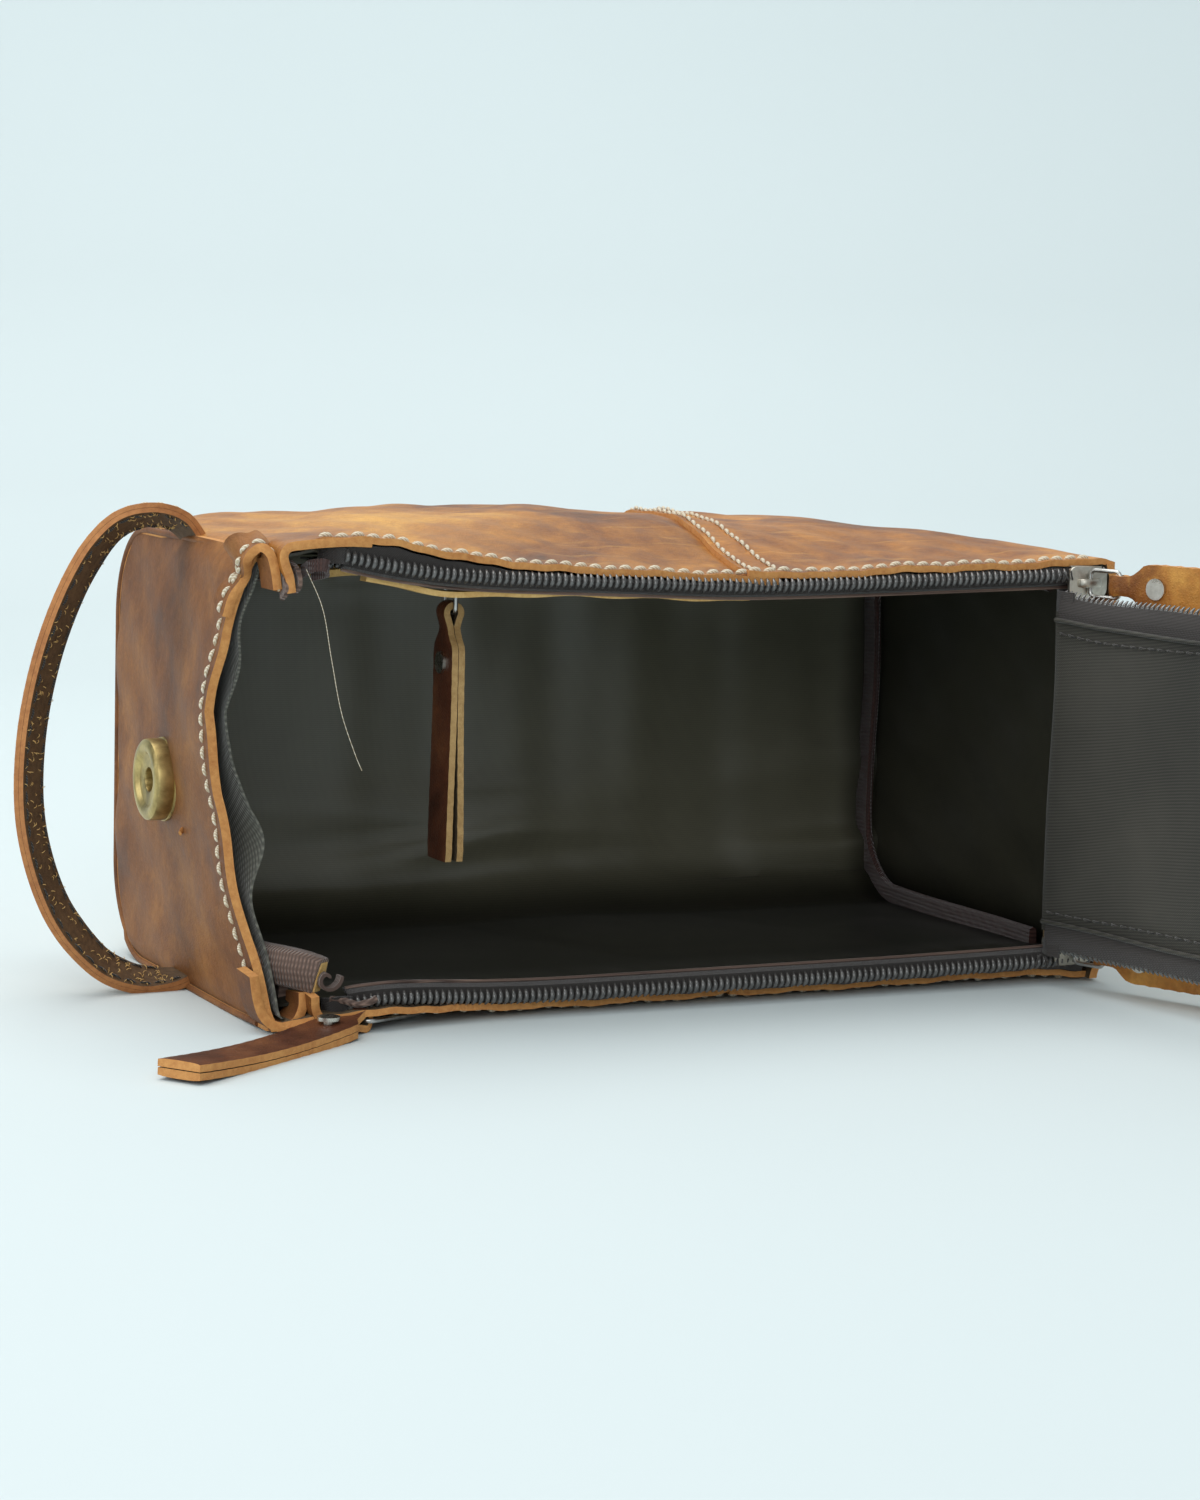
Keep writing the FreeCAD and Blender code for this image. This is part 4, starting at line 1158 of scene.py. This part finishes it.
def hinge_sheet(name, z0, z1, y_out, y_in, mats, x_start=97.0, cad=None):
    """Sheet bent round the hinge line, from the shell on to the lid."""
    z = np.linspace(z0, z1, 30)[None, :]
    faces = []
    for offset in (y_out, y_in):
        line = hinge_curve(x_start, offset)
        faces.append(points(line[:, :1], line[:, 1:], z))
    sheet = grid_solid(name, *faces, mats, body=None, cad=cad)
    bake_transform(sheet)


hinge_sheet("hinge_leather_fold", 10.0, 87.6, -1.0, 0.6, TAN_SHEET, x_start=99.3,
            cad="end_bridge")
hinge_sheet("hinge_lining_fold", 11.2, 86.4, 1.0, 1.5, [TWILL] * 3)
for level, z0, z1 in (("upper", 85.3, 90.1), ("lower", 7.5, 12.3)):
    hinge_sheet("hinge_tape_fold_" + level, z0, z1, 1.7, 2.2, [TAPE] * 3)

# frayed tape ends where the zips turn the corner
for (level, up), z in zip(LEVELS, (92.6, 7.2)):
    for k in range(5):
        stray = rng.uniform(-1, 1, 3)
        root = np.array([84.2 + 0.9 * k, -54.6 - 0.3 * k, z])
        middle = root + (-0.8 + stray[0] * 0.6, -1.0 + stray[1] * 0.5, up * 0.8)
        tip = root + (-1.5 + stray[0], -1.8 + stray[1] * 0.8, up * (1.8 + stray[2] * 0.6))
        sweep("zip_fray_%s_%d" % (level, k), smooth_path([root, middle, tip], 12),
              [0.3, 0, 1], circle(0.22, 5), [TAPE])


# ------------------------------------------------------------------ tongue
def tongue_skin(label, y_out, y_in, mats):
    """Straight strip with a rounded end."""
    x = np.linspace(-2.0, -76.0, 70)[:, None]
    round_off = np.clip((-64 - x) / 12.0, 0, 1)
    half = 16.0 * (0.62 * np.sqrt(1 - round_off ** 2) + 0.38 * (1 - 0.35 * round_off ** 2))
    z = TONGUE_Z + half * np.linspace(-1, 1, 24)[None, :]
    faces = [swung(points(TONGUE_X + x, TONGUE_Y + y, z)) for y in (y_out, y_in)]
    grid_solid("tongue_skin_" + label, *faces, mats, body="tongue", cad="tongue_" + label)


def tongue_fold():
    """Leather running through the fold between lid and tongue."""
    x = np.linspace(-190.5, -200.0, 24)[:, None]
    t = (-190.5 - x) / 9.5
    z = TONGUE_Z + (17.0 - 1.2 * t) * np.linspace(-1, 1, 14)[None, :]
    fold = grid_solid("tongue_fold_leather", swung(points(x, -1.35 - 0.35 * t, z)),
                      swung(points(x, 0.85 - 0.2 * t, z)), TAN_SHEET, body=None)
    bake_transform(fold)


tongue_skin("outer", -1.75, -0.03, [TAN_RIGHT, FLESH, EDGE])
tongue_skin("inner", 0.03, 1.75, [FLESH, BROWN, EDGE])

# U-shaped stitch line: out along the top, round the end, back along the bottom
t = np.linspace(0, 1, 220)
turn = pi * np.clip((t - 0.4) / 0.2, 0, 1)
out_and_back = np.clip(t / 0.4, 0, 1) - np.clip((t - 0.6) / 0.4, 0, 1)
stitch_x = TONGUE_X - 4 - 60.0 * out_and_back - 8.5 * np.sin(turn)
for label, y, facing in (("out", -1.78, LID_OUT), ("in", 1.78, LID_IN)):
    row = swung(points(stitch_x, TONGUE_Y + y, TONGUE_Z + 13.0 * np.cos(turn)))
    stitch_row("tongue_stitch_" + label, row, facing, pitch=3.4, radius=0.38, body="tongue")
tongue_fold()


# ------------------------------------------------------------------ snap
def lathe(name, profile, centre, axis, mat, body="shell", cad=None):
    """Revolve (radius, height) pairs round a level axis."""
    count = 64
    axis = unit(np.array(axis, float))
    side = unit(np.cross(axis, (0, 0, 1.0)))
    other = np.cross(axis, side)
    verts = []
    for radius, height in profile:
        for q in range(count):
            a = 2 * pi * q / count
            verts.append(centre + axis * height + (side * cos(a) + other * sin(a)) * radius)
    make(name, verts, tube_faces(len(profile), count), [mat], angle=28, body=body, cad=cad)


low, high = cad_corners("snap_female_cap")
_, snap_y, snap_z = (low + high) / 2
gusset_x = gusset_point(0.48, (snap_z - GUSSET_LOW) / GUSSET_SPAN[-1], -1)[0]
seat = np.array([min(high[0], gusset_x + 0.1), snap_y, snap_z])
lathe("snap_cap_brass", [
    (8.2, 0.0), (8.9, 0.25), (9.0, 0.6), (9.0, 3.4), (8.85, 4.0), (8.4, 4.4), (7.7, 4.6),
    (6.9, 4.6), (6.4, 4.4), (6.1, 4.1), (5.6, 3.7), (4.8, 3.6), (3.4, 3.6), (2.75, 3.4),
    (2.6, 3.0), (2.55, 0.9), (1.2, 0.8)], seat, (-1, 0, 0), BRASS, cad="snap_female_cap")
lathe("snap_base_rim", [(9.2, 0.0), (9.3, 0.3), (9.2, 0.7), (8.7, 0.9)],
      seat + (0.25, 0, 0), (-1, 0, 0), BRASS)
lathe("snap_magnet_disc", [(5.0, 0), (5.0, 1.2), (4.6, 1.4)], seat, (-1, 0, 0), STEEL,
      cad="snap_magnet")
lathe("snap_stud_brass", [
    (8.4, 0.0), (9.0, 0.3), (9.0, 1.2), (8.6, 1.75), (7.6, 1.95), (4.0, 1.9), (2.4, 1.95),
    (2.2, 2.3), (2.2, 3.4), (1.9, 3.75), (1.0, 3.8)],
    swung((TONGUE_X - 60.7, TONGUE_Y + 1.8, 46.5)), LID_IN, BRASS, body="tongue",
    cad="snap_male_stud")
# crumb of cut leather under the snap
crumb = smooth_path([(-103.6, -5.6, 36.4), (-104.6, -6.2, 35.7), (-105.0, -6.9, 35.4)], 8)
sweep("leather_crumb", crumb, [0, 1, 0.2], circle(0.6, 6, squash=0.6), [EDGE])


# ------------------------------------------------------------------ zip sliders
def slab(outline, y0, y1, soft=0.18):
    """Rings of a plate from y0 to y1 with softened edges; outline in (x, z)."""
    outline = np.array(outline, float)
    centre = outline.mean(0)
    spokes = outline - centre
    reach = np.linalg.norm(spokes, axis=1, keepdims=True)
    rings = []
    for inset, y in ((soft, y0), (soft * 0.3, y0 + soft * 0.3), (0, y0 + soft),
                     (0, y1 - soft), (soft * 0.3, y1 - soft * 0.3), (soft, y1)):
        ring = centre + spokes * (1 - inset / np.maximum(reach, 1e-6))
        rings.append(points(ring[:, 0], y, ring[:, 1]))
    return rings


def slider_outline(half_width, half_length):
    """Rounded rectangle, narrower towards +X and slightly waisted."""
    angle = 2 * pi * np.arange(56) / 56
    c, s = np.cos(angle), np.sin(angle)
    share = np.copysign(abs(c) ** 0.42, c)
    width = half_width * (1 - 0.16 * np.maximum(0, share) ** 1.5 - 0.05 * (1 - abs(share)))
    return np.stack([half_length * share, width * np.copysign(abs(s) ** 0.42, s)], 1)


def bail_rings(y0, y1):
    """The arched loop as a rounded bar."""
    angle = np.linspace(0, pi, 34)
    path = np.stack([-2.6 * np.cos(angle), y0 + (y1 - 0.25 - y0) * np.sin(angle) ** 0.45], 1)
    tangent = unit(np.gradient(path, axis=0))
    rings = []
    around = 2 * pi * np.arange(12) / 12
    for (x, y), (tx, ty) in zip(path, tangent):
        off = 0.26 * np.cos(around)
        rings.append(points(x - ty * off, y + tx * off, 0.95 * np.sin(around)))
    return rings


def slider(label, where, tilt, body, cad, levels, bail):
    """Two plates, the web between them, side flanges and a bail.

    levels are the y of the inner plate's two faces, then the outer plate's.
    """
    inner, web_low, web_high, outer = levels
    parts = [slab(slider_outline(3.85, 4.95), web_high, outer),
             slab(slider_outline(2.9, 4.9), inner, web_low),
             slab(slider_outline(0.32, 4.6), web_low - 0.02, web_high + 0.02, 0.05)]
    for side in (-1, 1):
        flange = [(-4.2, side * 3.55), (4.0, side * 3.2), (4.0, side * 3.62),
                  (-4.2, side * 3.84)]
        parts.append(slab(flange, web_high - 0.75, web_high + 0.05, 0.05))
    parts.append(bail_rings(*bail))
    verts, faces = [], []
    for rings in parts:
        faces += tube_faces(len(rings), len(rings[0]), base=len(verts))
        verts.extend(turn_about_x(np.concatenate(rings), tilt) + where)
    make("slider_cast_" + label, verts, faces, [NICKEL], angle=35, body=body, cad=cad)


for level, up in LEVELS:
    slider(level, (SLIDER_X, 0.0, SLIDER_Z[level]), 180, "zip_slider_" + level,
           "zip_slider_" + level, levels=(49.5, 50.4, 54.4, 55.4), bail=(55.3, 57.6))
slider("inner", (-50.5, -25.0, 100.0), -90, "inner_slider", "inner_pocket_slider",
       levels=(3.0, 3.7, 5.95, 6.75), bail=(6.65, 9.1))
slider("outer", (-66.0, POCKET_Y, POCKET_Z), -90 - OUTER_TILT, "outer_slider",
       "outer_pocket_slider", levels=(-3.7, -3.0, -0.85, -0.3), bail=(-0.35, 1.7))

# ------------------------------------------------------------------ CAD pieces kept as they are
KEPT = {
    RIVET: ("zip_rivet_upper", "zip_rivet_lower", "inner_pocket_rivet", "outer_pocket_rivet"),
    STEEL: ("snap_female_washer",),
    SATIN: ("inner_pocket_bag", "outer_pocket_bag"),
    TAPE: ("inner_pocket_tape_front", "inner_pocket_tape_back", "outer_pocket_tape_front",
           "outer_pocket_tape_back"),
}
for mat, names in KEPT.items():
    for name in names:
        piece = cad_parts[name]
        if not isinstance(piece, bpy.types.Object):
            piece = bpy.data.objects[name]
        if not piece.material_slots:
            piece.data.materials.append(mat)
        else:
            for slot in piece.material_slots:
                slot.material = mat

# ------------------------------------------------------------------ floor and backdrop
VIEW_YAW = radians(25.2)                  # the backdrop is square to the camera
# Section of the sweep: distance back, height
BACKDROP = [(-3000, -0.02), (-400, -0.02), (300, -0.02), (620, -0.02), (760, 12), (870, 60),
            (950, 160), (990, 320), (1000, 700), (1000, 2600)]
c, s = cos(VIEW_YAW), sin(VIEW_YAW)
verts = [(x * c + y * s, -x * s + y * c, z) for y, z in BACKDROP for x in (-3000.0, 3600.0)]
faces = [(2 * k, 2 * k + 1, 2 * k + 3, 2 * k + 2) for k in range(len(BACKDROP) - 1)]
floor = make("floor", verts, faces, [paint("floor_paint", (0.645, 0.715, 0.727))], body=None)

# ------------------------------------------------------------------ camera
scene = bpy.context.scene
lens = bpy.data.cameras.new("camera")
camera = bpy.data.objects.new("camera", lens)
scene.collection.objects.link(camera)
scene.camera = camera
pitch, tilt = radians(6.9), radians(1.49)
forward = Vector((sin(VIEW_YAW) * cos(pitch), cos(VIEW_YAW) * cos(pitch), -sin(pitch)))
level_right = Vector((cos(VIEW_YAW), -sin(VIEW_YAW), 0))
level_up = level_right.cross(forward)
right = level_right * cos(tilt) + level_up * sin(tilt)
upward = level_up * cos(tilt) - level_right * sin(tilt)
turned = Matrix((right, upward, -forward)).transposed().to_4x4()
camera.matrix_world = Matrix.Translation(Vector((-351.0, -741.5, 149.0)) * MM) @ turned
lens.lens = 86.4
lens.sensor_width = 36.0
lens.sensor_fit = "AUTO"
lens.clip_start = 0.01


# ------------------------------------------------------------------ light (metres, watts)
def area(name, place, target, size, power, color):
    light = bpy.data.lights.new(name, "AREA")
    light.shape = "RECTANGLE"
    light.size, light.size_y = size
    light.energy = power
    light.color = color
    lamp = bpy.data.objects.new(name, light)
    scene.collection.objects.link(lamp)
    lamp.location = place
    aim = Vector(target) - Vector(place)
    lamp.rotation_euler = aim.to_track_quat("-Z", "Y").to_euler()


area("key_top", place=(-0.15, 0.25, 1.25), target=(0.0, 0.0, 0.05), size=(1.3, 1.0),
     power=13.5, color=(1.0, 0.99, 0.97))
area("front_fill", place=(-0.75, -1.25, 0.75), target=(0.0, 0.0, 0.05), size=(1.2, 0.9),
     power=7.5, color=(0.97, 0.99, 1.0))
area("left_fill", place=(-1.4, 0.1, 0.55), target=(-0.1, 0.0, 0.05), size=(0.9, 0.9),
     power=4.5, color=(0.97, 0.99, 1.0))

world = bpy.data.worlds.new("world")
world.use_nodes = True
background = world.node_tree.nodes["Background"]
background.inputs["Color"].default_value = (0.86, 0.94, 0.97, 1)
background.inputs["Strength"].default_value = 0.52
scene.world = world
scene.view_settings.view_transform = "Standard"
